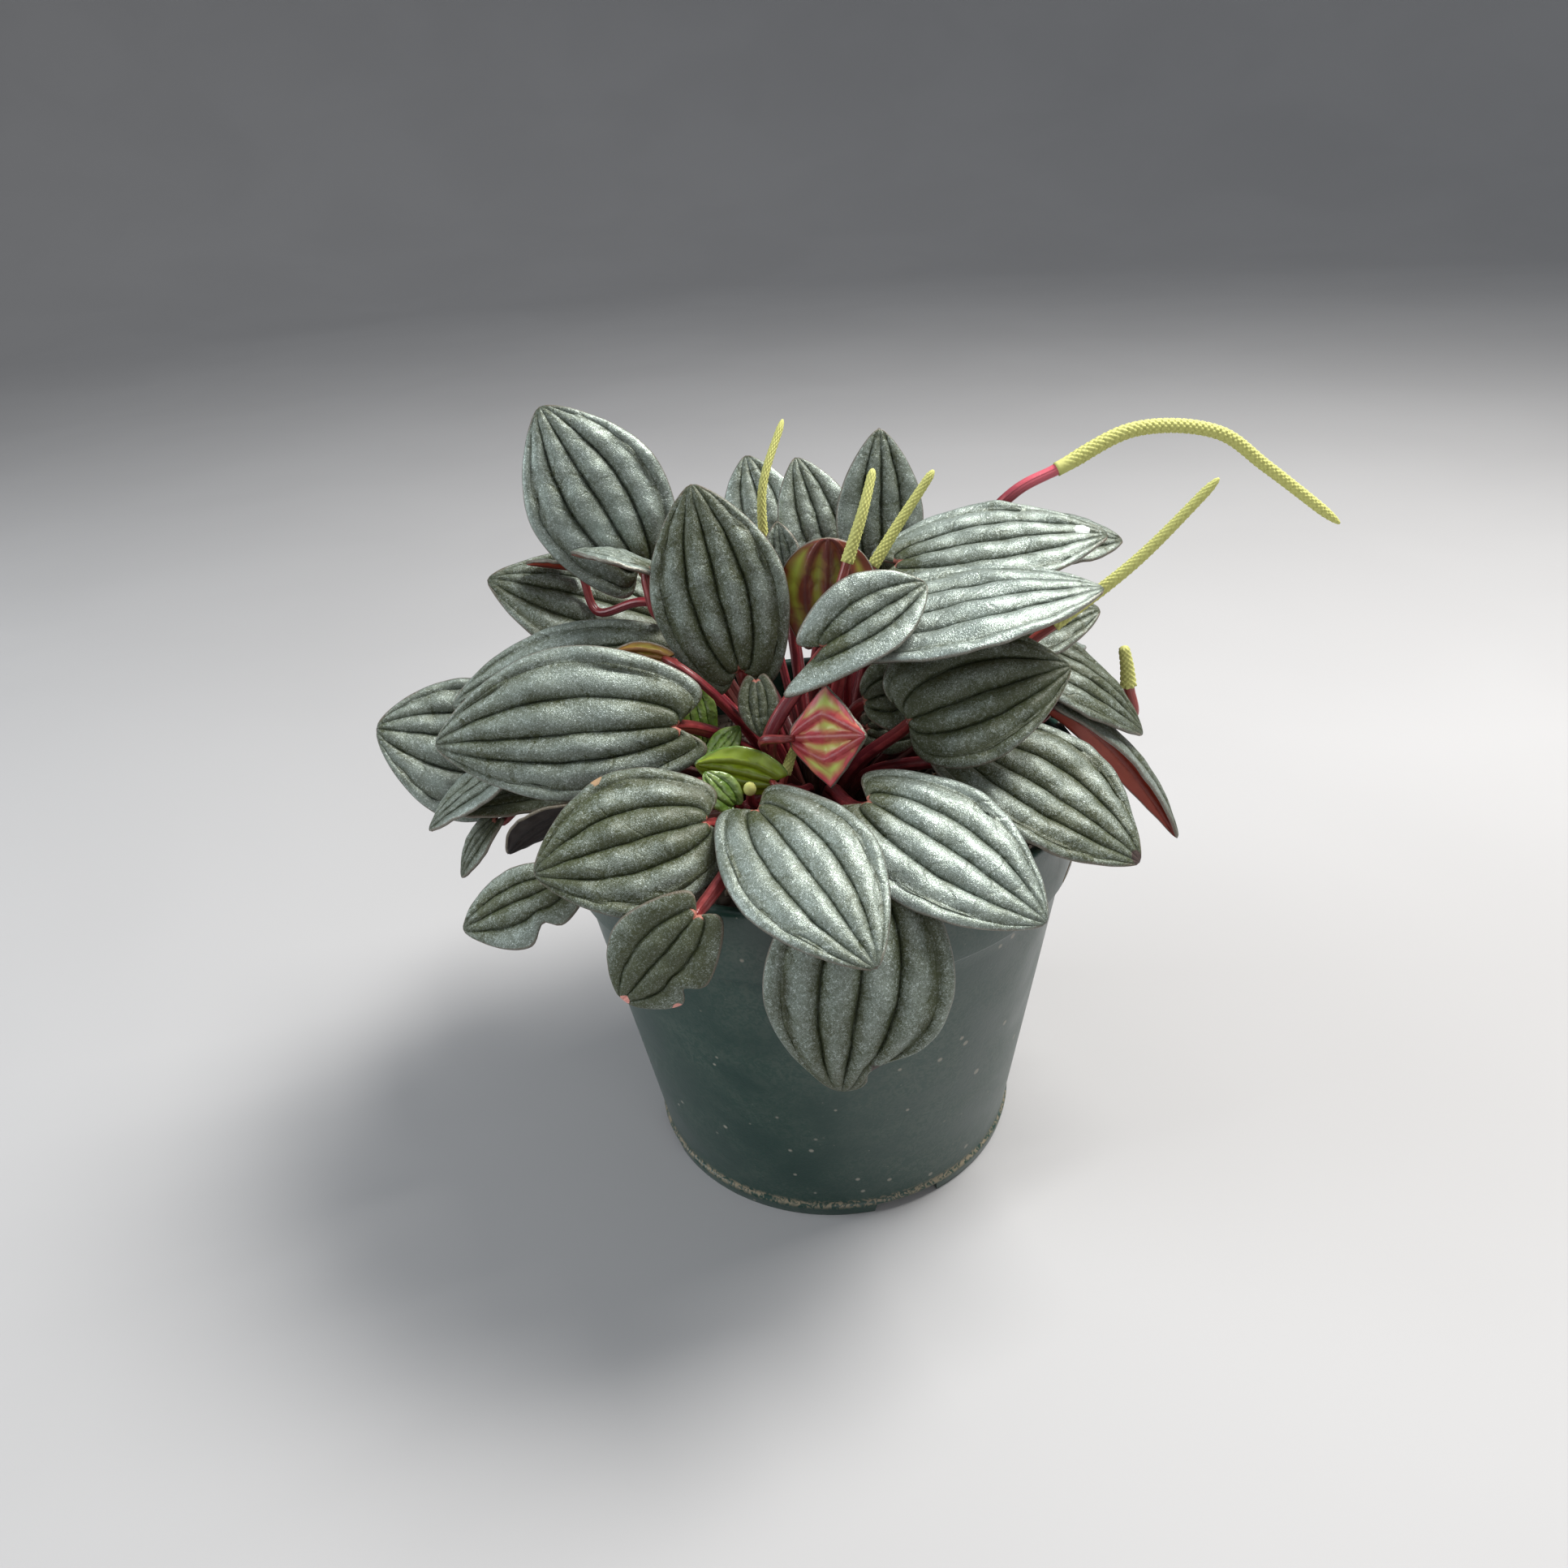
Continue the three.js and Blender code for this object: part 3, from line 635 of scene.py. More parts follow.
@dataclass(frozen=True)
class SilverSkin(Finish):
    """The upper side of a grown leaf: silver puffs, dark valleys and a sparkle of fine crystals with painted
    glints. How silver each leaf is also carries painted light and shade.

    The numbers below the colours are how much of each thing shows, from 0 to 1.
    """

    silver: Colour = (0.40, 0.47, 0.435, 1)
    # Painted glint: the white of the highlight flecks on the crystals
    bright: Colour = (0.80, 0.88, 0.86, 1)
    olive: Colour = (0.052, 0.062, 0.024, 1)
    dark: Colour = (0.022, 0.032, 0.012, 1)
    margin: Colour = (0.17, 0.13, 0.10, 1)
    star: Colour = (0.42, 0.15, 0.11, 1)
    least: float = 0.04
    toned: float = 0.8
    patched: float = 0.22
    valley: float = 0.38
    veinlet: float = 0.16
    near_star: float = 0.5
    fleck: float = 0.34
    glint: float = 0.75
    groove: float = 0.5
    rim: float = 0.7
    shine: float = 0.55

    def paint(self, w: Wiring) -> dict[str, Socket]:
        """Draws the silver over olive with painted glints, then the veins, margin, star and scars."""
        grain = GRAIN.put(w, size=0.3)
        patch = MOTTLE.put(w, size=9.0)["share"]
        veins = VEINS.put(w)
        # The leaf's silver share holds painted light and shade as well: lit leaves were given more silver,
        # shaded ones less
        amount = w.plus(w.times(w.value("tone"), self.toned), self.least)
        amount = w.plus(amount, w.times(w.less(patch, 0.5), self.patched))
        amount = w.less(amount, w.times(veins["valley"], self.valley))
        amount = w.less(amount, w.times(veins["veinlet"], self.veinlet))
        near = w.span(w.value("star_gap"), 8.0, 1.0, 0.0, self.near_star)
        sheen = w.less(amount, near, clamp=True)
        amount = w.plus(sheen, w.times(w.less(grain["fleck"], 0.5), self.fleck), clamp=True)
        colour = w.mix(amount, self.olive, self.silver)
        # Painted glints: white highlight flecks on the crystals, stronger where the leaf is more silver
        glint = w.times(w.span(grain["height"], 0.57, 0.68), w.plus(sheen, 0.15))
        colour = w.mix(w.times(glint, self.glint), colour, self.bright)
        colour = w.mix(w.times(veins["groove"], self.groove), colour, self.dark)
        colour = w.mix(w.times(veins["rim"], self.rim), colour, self.margin)
        colour = w.mix(veins["star"], colour, self.star)
        mark = w.node("ShaderNodeAttribute", attribute_name="mark")
        scarred = w.span(mark.outputs["Alpha"], 0.35, 0.6)
        colour = w.mix(scarred, colour, mark.outputs["Color"])
        plain = w.sum("MAXIMUM", veins["star"], scarred)
        shine = w.times(w.plus(w.times(sheen, self.shine), 0.1), w.span(plain, 1.0, 0.0))
        rough = w.plus(w.less(0.46, w.times(sheen, 0.12)), w.times(plain, 0.1))
        height = w.less(w.times(grain["height"], 0.45), w.times(veins["veinlet"], 0.25))
        height = w.less(height, w.times(veins["groove"], 0.7))
        return {"Base Color": colour, "Metallic": shine, "Roughness": rough, "Height": height}


@dataclass(frozen=True)
class FreshSkin(Finish):
    """The upper side of a young leaf: glossy green with sunk veins."""

    green: Colour = (0.09, 0.17, 0.02, 1)
    pale: Colour = (0.24, 0.34, 0.10, 1)
    dark: Colour = (0.05, 0.10, 0.012, 1)

    def paint(self, w: Wiring) -> dict[str, Socket]:
        """Draws pale puffs over green."""
        patch = MOTTLE.put(w, size=2.5)["share"]
        veins = VEINS.put(w, groove=0.4, rim=0.2, star=0.4, spacing=2.0)
        colour = w.mix(w.times(patch, w.value("crest")), self.green, self.pale)
        colour = w.mix(w.times(veins["groove"], 0.8), colour, self.dark)
        height = w.less(patch, veins["groove"])
        return {"Base Color": colour, "Height": height}


@dataclass(frozen=True)
class UnderSkin(Finish):
    """The lower side of a leaf: flesh between the veins, and a deeper colour along them."""

    flesh: Colour = (0.30, 0.34, 0.12, 1)
    flush: Colour = (0.25, 0.07, 0.05, 1)
    line: Colour = (0.16, 0.03, 0.03, 1)
    spread: float = 1.0
    lined: float = 0.8

    def paint(self, w: Wiring) -> dict[str, Socket]:
        """Draws the flush along the veins and the margin, and thin lines on top."""
        patch = MOTTLE.put(w, size=4.5)["share"]
        veins = VEINS.put(w, groove=0.5, rim=0.45, star=0.3, spacing=3.4)
        near_vein = w.span(w.value("vein_gap"), 2.3 * self.spread, 0.3)
        near_rim = w.span(w.value("rim_gap"), 3.2 * self.spread, 0.4)
        near_star = w.span(w.value("star_gap"), 6.0 * self.spread, 1.0)
        flushed = w.sum("MAXIMUM", w.sum("MAXIMUM", near_vein, near_rim), near_star)
        flushed = w.plus(flushed, w.times(w.less(patch, 0.5), 0.5), clamp=True)
        colour = w.mix(flushed, self.flesh, self.flush)
        colour = w.mix(w.times(veins["groove"], self.lined), colour, self.line)
        colour = w.mix(w.times(veins["veinlet"], 0.35), colour, self.line)
        colour = w.mix(w.times(veins["rim"], 0.7), colour, self.line)
        height = w.plus(w.times(patch, 0.3), veins["groove"])
        return {"Base Color": colour, "Height": height}


@dataclass(frozen=True)
class StalkSkin(Finish):
    """Crimson stalks, finely streaked along their length, browner where the light comes through."""

    crimson: Colour = (0.16, 0.014, 0.022, 1)
    rose: Colour = (0.34, 0.05, 0.055, 1)
    amber: Colour = (0.30, 0.10, 0.025, 1)
    earth: Colour = (0.05, 0.025, 0.016, 1)

    def paint(self, w: Wiring) -> dict[str, Socket]:
        """Draws the streaks, the dark foot, which is part soil and part painted shade, and the amber
        stretches.
        """
        patch = MOTTLE.put(w, size=3.0)["share"]
        grain = GRAIN.put(w, size=0.6)
        streak = w.span(w.value("streak"), 0.3, 0.7)
        colour = w.mix(w.times(streak, patch), self.crimson, self.rose)
        colour = w.mix(w.value("amber"), colour, self.amber)
        tint = w.node("ShaderNodeAttribute", attribute_name="tint")
        colour = w.mix(w.times(tint.outputs["Alpha"], 0.85), colour, tint.outputs["Color"])
        # Darker towards the crown: part soil and part painted shade deep inside the plant
        colour = w.mix(w.span(w.value("along"), 0.4, 0.0), colour, self.earth)
        height = w.plus(streak, w.times(grain["height"], 0.5))
        return {"Base Color": colour, "Height": height}


@dataclass(frozen=True)
class SpikeSkin(Finish):
    """A flower spike: its colours run along it, with painted shade in the pits round the foot of each tiny
    flower and a soft darker mottle.
    """

    shade: Colour = (0.20, 0.17, 0.03, 1)

    def paint(self, w: Wiring) -> dict[str, Socket]:
        """Draws the running colour with painted shade in the pits and a soft darker mottle."""
        tint = w.node("ShaderNodeAttribute", attribute_name="tint").outputs["Color"]
        patch = MOTTLE.put(w, size=2.2)["share"]
        # Painted shade in the pits between the tiny flowers
        pit_shade = w.span(w.value("bump"), 0.6, 0.1)
        colour = w.mix(w.times(pit_shade, 0.5), tint, self.shade)
        colour = w.mix(w.times(patch, 0.25), colour, self.shade)
        return {"Base Color": colour, "Height": patch}


@dataclass(frozen=True)
class PotPlastic(Finish):
    """Thin dark green plastic, a little scuffed, with dust, specks and a line of dirt at the foot."""

    green: Colour = (0.004, 0.033, 0.024, 1)
    worn: Colour = (0.014, 0.052, 0.038, 1)
    dust: Colour = (0.33, 0.31, 0.26, 1)
    dirt: Colour = (0.30, 0.24, 0.16, 1)
    dirt_height: float = 3.3

    def paint(self, w: Wiring) -> dict[str, Socket]:
        """Draws the plastic, its dust and its dirt."""
        patch = MOTTLE.put(w, size=14.0)["share"]
        fine = GRAIN.put(w, size=1.1)
        specks = SPECKS.put(w, spacing=5.5, cover=0.22)["spot"]
        small = SPECKS.put(w, spacing=2.3, cover=0.13)["spot"]
        parts = w.node("ShaderNodeSeparateXYZ")
        w.tree.links.new(w.place(), parts.inputs[0])
        height = parts.outputs["Z"]
        colour = w.mix(w.times(patch, 0.6), self.green, self.worn)
        spots = w.sum("MAXIMUM", specks, w.times(small, 0.6))
        colour = w.mix(w.times(spots, 0.75), colour, self.dust)
        film = w.times(w.times(patch, fine["fleck"]), 0.10)
        colour = w.mix(film, colour, self.dust)
        band = w.span(w.sum("ABSOLUTE", w.less(height, self.dirt_height)), 1.3, 0.1)
        ragged = w.times(band, w.span(fine["height"], 0.42, 0.6))
        colour = w.mix(w.times(ragged, 0.8), colour, self.dirt)
        rough = w.plus(0.33, w.times(patch, 0.16))
        rough = w.plus(rough, w.times(w.sum("MAXIMUM", spots, ragged), 0.35))
        return {"Base Color": colour, "Roughness": rough, "Height": w.plus(fine["height"], patch)}


@dataclass(frozen=True)
class Earth(Finish):
    """Potting soil, its crumbs and its fibres: dark and dull, with paler bits."""

    dark: Colour = (0.016, 0.010, 0.007, 1)
    pale: Colour = (0.085, 0.055, 0.036, 1)

    def paint(self, w: Wiring) -> dict[str, Socket]:
        """Draws dark and paler crumbs."""
        grain = GRAIN.put(w, size=1.6)
        patch = MOTTLE.put(w, size=5.0)["share"]
        colour = w.mix(w.times(grain["fleck"], patch), self.dark, self.pale)
        return {"Base Color": colour, "Height": grain["height"]}


UNDERSIDES = {
    Under.PLAIN: UnderSkin("under_plain", subsurface=0.08, flesh=(0.22, 0.25, 0.10, 1),
                           flush=(0.20, 0.10, 0.06, 1)),
    Under.MAROON: UnderSkin("under_maroon", roughness=0.38, subsurface=0.12,
                            flesh=(0.36, 0.42, 0.05, 1), flush=(0.19, 0.045, 0.02, 1),
                            line=(0.10, 0.016, 0.014, 1)),
    Under.RUST: UnderSkin("under_rust", roughness=0.5, subsurface=0.08,
                          flesh=(0.40, 0.060, 0.022, 1), flush=(0.34, 0.040, 0.016, 1),
                          line=(0.20, 0.020, 0.010, 1)),
    Under.PINK: UnderSkin("under_pink", roughness=0.42, subsurface=0.08,
                          flesh=(0.50, 0.56, 0.13, 1), flush=(0.50, 0.075, 0.085, 1),
                          line=(0.28, 0.02, 0.03, 1), spread=0.85),
    # Painted shade: a near-black lower side for leaves that lie in deep shade
    Under.DUSK: UnderSkin("under_dusk", roughness=0.6, flesh=(0.035, 0.026, 0.02, 1),
                          flush=(0.02, 0.012, 0.01, 1), line=(0.012, 0.007, 0.006, 1)),
    Under.LIME: UnderSkin("under_lime", roughness=0.32, subsurface=0.15,
                          flesh=(0.30, 0.42, 0.02, 1), flush=(0.26, 0.36, 0.02, 1),
                          line=(0.16, 0.20, 0.015, 1), spread=0.45),
    Under.AMBER: UnderSkin("under_amber", roughness=0.4, subsurface=0.12,
                           flesh=(0.36, 0.34, 0.03, 1), flush=(0.33, 0.20, 0.02, 1),
                           line=(0.18, 0.06, 0.02, 1), spread=0.4),
}
TOPS = {
    Top.SILVER: SilverSkin("leaf_top", coat=0.08, coat_roughness=0.35, bump_depth=0.3),
    Top.FRESH: FreshSkin("leaf_fresh", roughness=0.24, coat=0.4, subsurface=0.12, bump_depth=0.2),
}


# Leaves

RIDGE_HEIGHT = 0.055
RIDGE_FLATNESS = 2.2
LOBE_CURVE = 1.3
LOBE_START = 0.03
BLADE_THICKNESS = 1.0
RIM_SHARE = 0.5
RIM_REACH = 1.6
RIM_ROUND = 0.2
LARGE_WIDTH = 17.5
LARGE_VEINS = (-1.06, -0.8, -0.41, 0, 0.41, 0.8, 1.06)
SMALL_VEINS = (-1.2, -0.45, 0, 0.45, 1.2)
OUTER_VEIN, OUTER_FROM, OUTER_RISE, OUTER_SPREAD, OUTER_FAINT = 0.8, 0.6, 0.62, 0.12, 0.4
LARGE_ROWS, LARGE_STRIP = 60, 8
SMALL_ROWS, SMALL_STRIP = 42, 7
GAP = 0.35
NO_TINT = (0.5, 0.5, 0.5, 0)
DARK_TIP = (0.05, 0.02, 0.01, 1)
BUD_COLOUR, BUD_TIP = (0.62, 0.64, 0.22, 1), (0.06, 0.03, 0.01, 1)

# The width of a leaf whose star is as wide as the finish says, and how slowly smaller ones lose it
USUAL_WIDTH, STAR_GROWTH = 25, 0.7

# Dents in the puffs: the depth of each, how often it comes back along the blade, and its slant
DENTS = ((0.16, 13, 0), (0.14, 25, 4), (0.08, 43, -5))
WAVE_SIZE, WAVE_RATE = 0.012, 9


@dataclass(frozen=True)
class Mark:
    """A scar on a leaf: where it lies along and across the blade, and its size in millimetres."""

    along: float
    across: float
    size: float
    wound: Wound


@dataclass(frozen=True)
class Bite:
    """A piece torn from a leaf's margin.

    side is -1 or 1, at is where it lies along the blade, and width and depth are shares of the
    blade's length and half width.
    """

    side: int
    at: float
    width: float
    depth: float


@dataclass(frozen=True)
class Leaf:
    """One leaf, in millimetres and degrees.

    at is where the stalk joins the blade, tip is its point, and face is the way its upper side looks.
    arch bends it along its length, cup rolls its sides up, and fold lifts its halves about the midrib.
    lobes are how far the two sides of the base reach back past the stalk, as a share of the length, and
    sides is how the width is shared between them. belly moves the widest place towards the tip, and
    fullness is small for a full leaf. kite is 1 for straight sides with a corner on each. tuck is 1
    where the stalk comes from straight below the blade. via is a point that the stalk bows over, and
    stalk its radius. Its silver share says how silver the leaf is, and carries painted light and shade as
    well: leaves in the light are given more silver, leaves in shade less.
    """

    name: str
    at: Point
    tip: Point
    width: float
    face: Point
    arch: float = 20
    cup: float = 0
    fold: float = 0
    lobes: Pair = (0.26, 0.26)
    sides: Pair = (0.5, 0.5)
    belly: float = 0.8
    fullness: float = 0.72
    kite: float = 0
    tuck: float = 0.65
    via: Point | None = None
    stalk: float | None = None
    tone: float = 0.6
    top: Top = Top.SILVER
    under: Under = Under.PLAIN
    marks: tuple[Mark, ...] = ()
    bites: tuple[Bite, ...] = ()

    @property
    def large(self) -> bool:
        """Whether the leaf has the veins and points of a large one."""
        return self.width >= LARGE_WIDTH

    @property
    def veins(self) -> tuple[float, ...]:
        """Where its veins lie across it, with one past each margin."""
        return LARGE_VEINS if self.large else SMALL_VEINS

    @property
    def slot(self) -> str:
        """The name of the record's material slot that the leaf belongs to."""
        if self.name.startswith("leaf_young"):
            return "young_leaf"
        return "leaf_underside" if self.name in ("leaf_top_10", "leaf_middle_3") else "leaf"

    def axes(self) -> tuple[Array, Array, Array, float]:
        """The blade's three directions, along, across and up, and its length."""
        span = np.array(self.tip, float) - np.array(self.at, float)
        length = float(np.linalg.norm(span))
        along = span / length
        face = np.array(self.face, float)
        up = unit(face - along * (face @ along))
        return along, np.cross(up, along), up, length

    def relief(self, u: Array, v: Array) -> tuple[Array, Array]:
        """How the blade puffs up between its veins.

        Args:
            u: places along it.
            v: places across it.

        Returns:
            The height of each point, and how near the crest of its puff it lies, 0 to 1.
        """
        veins = np.array(self.veins)
        strip = np.clip(np.searchsorted(veins, v, side="left") - 1, 0, len(veins) - 2)
        share = (v - veins[strip]) / (veins[strip + 1] - veins[strip])
        crest = 1 - np.abs(2 * share - 1) ** RIDGE_FLATNESS
        shallow = OUTER_RISE * np.exp(-(((np.abs(v) - OUTER_VEIN) / OUTER_SPREAD) ** 2))
        crest = np.maximum(crest, shallow)
        swell = np.sin(np.pi * u**0.8) ** 0.6
        phase = draws(self.name).uniform(0, 2 * np.pi, (len(DENTS) + 1, len(veins)))
        dents = sum(size * np.sin(rate * u + slant * share + start[strip])
                    for (size, rate, slant), start in zip(DENTS, phase))
        wave = WAVE_SIZE * self.width * np.abs(v) ** 3 * np.sin(WAVE_RATE * u + phase[-1][strip])
        puff = self.width * RIDGE_HEIGHT * crest * swell * (1 + dents)
        return puff + wave * swell, crest

    def surface(self, u: Array, v: Array) -> dict[str, Array]:
        """The blade's middle surface.

        Args:
            u: places along it, 0 at the stalk and 1 at the tip.
            v: places across it, -1 to 1.

        Returns:
            Its points, and what the finish needs of each by name.
        """
        along, across, up, length = self.axes()
        w = np.abs(v)
        left = v < 0
        half = self.width * np.where(left, *self.sides)
        bellied = u**self.belly
        bow = np.sin(np.pi * bellied) ** self.fullness
        reach = half * ((1 - self.kite) * bow + self.kite * (1 - np.abs(2 * bellied - 1)))
        lobe = np.where(left, *self.lobes)
        back = np.where(u < 0.5, lobe * (1 - 2 * u) ** 2 * (1 - np.exp(-u / LOBE_START)), 0)
        share = u - back * w**LOBE_CURVE
        for bite in self.bites:
            depth = bite.depth * np.exp(-(((u - bite.at) / bite.width) ** 2)) * (np.sign(v) == bite.side)
            reach = reach * (1 - depth * w)
        roll = np.radians(self.cup) or 1e-6
        fold = np.radians(self.fold)
        lean = fold + roll * w
        out = np.sign(v) * reach * (np.sin(lean) - np.sin(fold)) / roll
        puff, crest = self.relief(u, v)
        lift = reach * (np.cos(fold) - np.cos(lean)) / roll + puff
        arch = np.radians(self.arch)
        radius = length / (2 * np.sin(arch / 2))
        angle = arch * (share - 0.5)
        far = length / 2 + (radius + lift) * np.sin(angle)
        high = (radius + lift) * np.cos(angle) - radius * np.cos(arch / 2)
        points = np.array(self.at, float) + np.multiply.outer(far, along)
        points = points + np.multiply.outer(out, across) + np.multiply.outer(high, up)
        lines = np.array(self.veins[1:-1])
        faint = np.where(np.abs(lines) > OUTER_FROM, OUTER_FAINT, 0)
        gaps = np.min(np.abs(v[..., None] - lines) * reach[..., None] + faint, axis=-1)
        star = np.linalg.norm(points - np.array(self.at, float), axis=-1)
        star = star * (USUAL_WIDTH / self.width) ** STAR_GROWTH
        rim = np.minimum((1 - w) * reach, (1 - u) * length)
        return {"points": points, "crest": crest, "vein_gap": gaps, "rim_gap": rim, "star_gap": star,
                "along": share * length}

    def places(self) -> tuple[Array, Array]:
        """Where the rows of points lie along the blade, and the columns across it."""
        rows, strip = (LARGE_ROWS, LARGE_STRIP) if self.large else (SMALL_ROWS, SMALL_STRIP)
        even = np.linspace(0, 1, rows)
        u = 0.55 * even + 0.45 * (0.5 - 0.5 * np.cos(np.pi * even))
        steps = np.linspace(0, 1, strip + 1)[:-1]
        steps = 0.4 * steps + 0.6 * (0.5 - 0.5 * np.cos(np.pi * steps))
        ends = np.clip(self.veins, -1, 1)
        v = np.concatenate([low + (high - low) * steps for low, high in zip(ends, ends[1:])] + [[1.0]])
        return u[1:-1], v

    def scars(self, points: Array) -> Array:
        """The scars on the blade.

        Args:
            points: the blade's points.

        Returns:
            The colour of the scar at each point, with how much of it shows last.
        """
        shown = np.zeros((len(points), 4))
        for mark in self.marks:
            place = self.surface(np.array([mark.along]), np.array([mark.across]))["points"][0]
            share = smooth(np.linalg.norm(points - place, axis=1), mark.size * 1.3, mark.size * 0.6)
            shown[:, :3] = np.where(share[:, None] > shown[:, 3:], mark.wound.value, shown[:, :3])
            shown[:, 3] = np.maximum(shown[:, 3], share)
        return shown

    def build(self) -> bpy.types.Object:
        """Makes the blade: two faces set off from its middle surface, with a round rim between."""
        u, v = self.places()
        rows, columns = len(u), len(v)
        grid = self.surface(*np.meshgrid(u, v, indexing="ij"))
        ends = self.surface(np.array([0.0, 1.0]), np.array([0.0, 0.0]))
        flat = {}
        for key, value in grid.items():
            body = value.reshape(rows * columns, *value.shape[2:])
            flat[key] = np.concatenate([body, ends[key]])
        base, tip = rows * columns, rows * columns + 1
        faces = [(i * columns + j, (i + 1) * columns + j, (i + 1) * columns + j + 1, i * columns + j + 1)
                 for i in range(rows - 1) for j in range(columns - 1)]
        last = (rows - 1) * columns
        faces += [(base, j, j + 1) for j in range(columns - 1)]
        faces += [(tip, last + j + 1, last + j) for j in range(columns - 1)]
        points = flat.pop("points")
        normals = np.zeros_like(points)
        for face in faces:
            a, b, c = (points[k] for k in face[:3])
            normals[list(face)] += np.cross(b - a, c - a)
        normals = unit(normals)
        edge = [base, *(i * columns for i in range(rows)), tip]
        edge += [(i + 1) * columns - 1 for i in reversed(range(rows))]
        inner = [base, *(i * columns + 1 for i in range(rows)), tip]
        inner += [(i + 1) * columns - 2 for i in reversed(range(rows))]
        swell = RIM_SHARE + (1 - RIM_SHARE) * np.sqrt(np.clip(flat["rim_gap"] / RIM_REACH, 0, 1))
        shift = normals * (BLADE_THICKNESS / 2) * swell[:, None]
        outward = unit(points[edge] - points[inner])
        outward[0] = unit(points[base] - points[columns // 2])
        outward[rows + 1] = unit(points[tip] - points[last + columns // 2])
        count = len(points)
        upper, lower, brim = points + shift, points - shift, points[edge] + RIM_ROUND * outward
        rim_faces = []
        for k in range(len(edge)):
            n = (k + 1) % len(edge)
            a, b, ma, mb = edge[k], edge[n], 2 * count + k, 2 * count + n
            rim_faces += [(b, a, ma, mb), (mb, ma, count + a, count + b)]
        every = {key: np.concatenate([value, value, value[edge]]) for key, value in flat.items()}
        whole = np.concatenate([upper, lower, brim])
        every["mark"] = self.scars(whole)
        # The leaf's silver share, which holds painted light and shade as well as its own silver
        every["tone"] = np.full(len(whole), float(self.tone))
        skin = Skin(self.name + "_dressed")
        skin.add(whole, faces, 0, **every)
        skin.faces += [tuple(count + k for k in reversed(face)) for face in faces]
        skin.slots += [1] * len(faces)
        skin.faces += rim_faces
        skin.slots += [0] * len(rim_faces)
        return skin.piece([TOPS[self.top].material(), UNDERSIDES[self.under].material()],
                          self.slot, self.name)


@dataclass(frozen=True)
class Spike:
    """One flower spike, in millimetres: the points that its axis runs through, and its radius.

    bare is the share of it, from its foot, that has no flowers. foot, middle and end are its colours,
    and stem is the colour of the stalk just below it.
    """

    name: str
    path: tuple[Point, ...]
    radius: float
    via: Point | None = None
    bare: float = 0.0
    foot: Colour = (0.50, 0.48, 0.10, 1)
    middle: Colour = (0.60, 0.64, 0.09, 1)
    end: Colour = (0.50, 0.58, 0.06, 1)
    dark_tip: bool = False
    stem: Colour = (0.30, 0.06, 0.05, 1)

    TAPER = 0.35
    ROUND = 0.1
    SIDES = 48
    RING_STEP = 0.17
    FLOWER_STEP = 1.15
    FLOWERS_ROUND = 8
    FLOWER_RISE, FLOWER_DIP = 0.34, 0.14

    def build(self) -> bpy.types.Object:
        """Makes the spike, with its tiny flowers raised in two crossing spirals."""
        knots = np.array(self.path, float)
        fine = through(knots, np.linspace(0, 1, 400))
        run = np.concatenate([[0], np.cumsum(np.linalg.norm(np.diff(fine, axis=0), axis=1))])
        length = run[-1]
        share = np.linspace(0, 1, max(12, int(length / self.RING_STEP)))
        path = np.column_stack([np.interp(share * length, run, fine[:, k]) for k in range(3)])
        path[0] -= GAP * unit(path[1] - path[0])
        near = np.clip((share - 1 + self.ROUND) / (1.02 * self.ROUND), 0, 1)
        spine = self.radius * (1 - self.TAPER * share) * np.sqrt(1 - near**2)
        angle = circle(self.SIDES)
        turn = share[:, None] * length * 2 * np.pi / self.FLOWER_STEP / 2
        spiral = self.FLOWERS_ROUND * angle[None, :] / 2
        bump = np.sqrt(np.abs(np.sin(turn + spiral) * np.sin(turn - spiral)))
        grown = smooth(share, self.bare - 0.02, self.bare + 0.06)[:, None] if self.bare else 1.0
        radii = spine[:, None] * (1 + (self.FLOWER_RISE * bump - self.FLOWER_DIP) * grown)
        low, high = np.array(self.foot), np.array(self.end)
        middle = np.array(self.middle)
        first = smooth(share, self.bare, self.bare + 0.3)[:, None]
        second = smooth(share, 0.55, 0.95)[:, None]
        tint = low * (1 - first) + middle * first
        tint = tint * (1 - second) + high * second
        if self.dark_tip:
            spot = smooth(share, 0.93, 0.98)[:, None]
            tint = tint * (1 - spot) + np.array(DARK_TIP) * spot
        skin = Skin(self.name + "_dressed")
        skin.add(tube(path, radii, self.SIDES), ring_faces(len(share), self.SIDES), 0,
                 tint=np.repeat(tint, self.SIDES, axis=0), bump=(bump * grown).ravel())
        return skin.piece([SPIKE_FINISH.material()], "spike", self.name)


@dataclass(frozen=True)
class Bud:
    """A flower bud that ends a thin stalk, in millimetres."""

    at: Point
    aim: Point
    via: Point | None = None


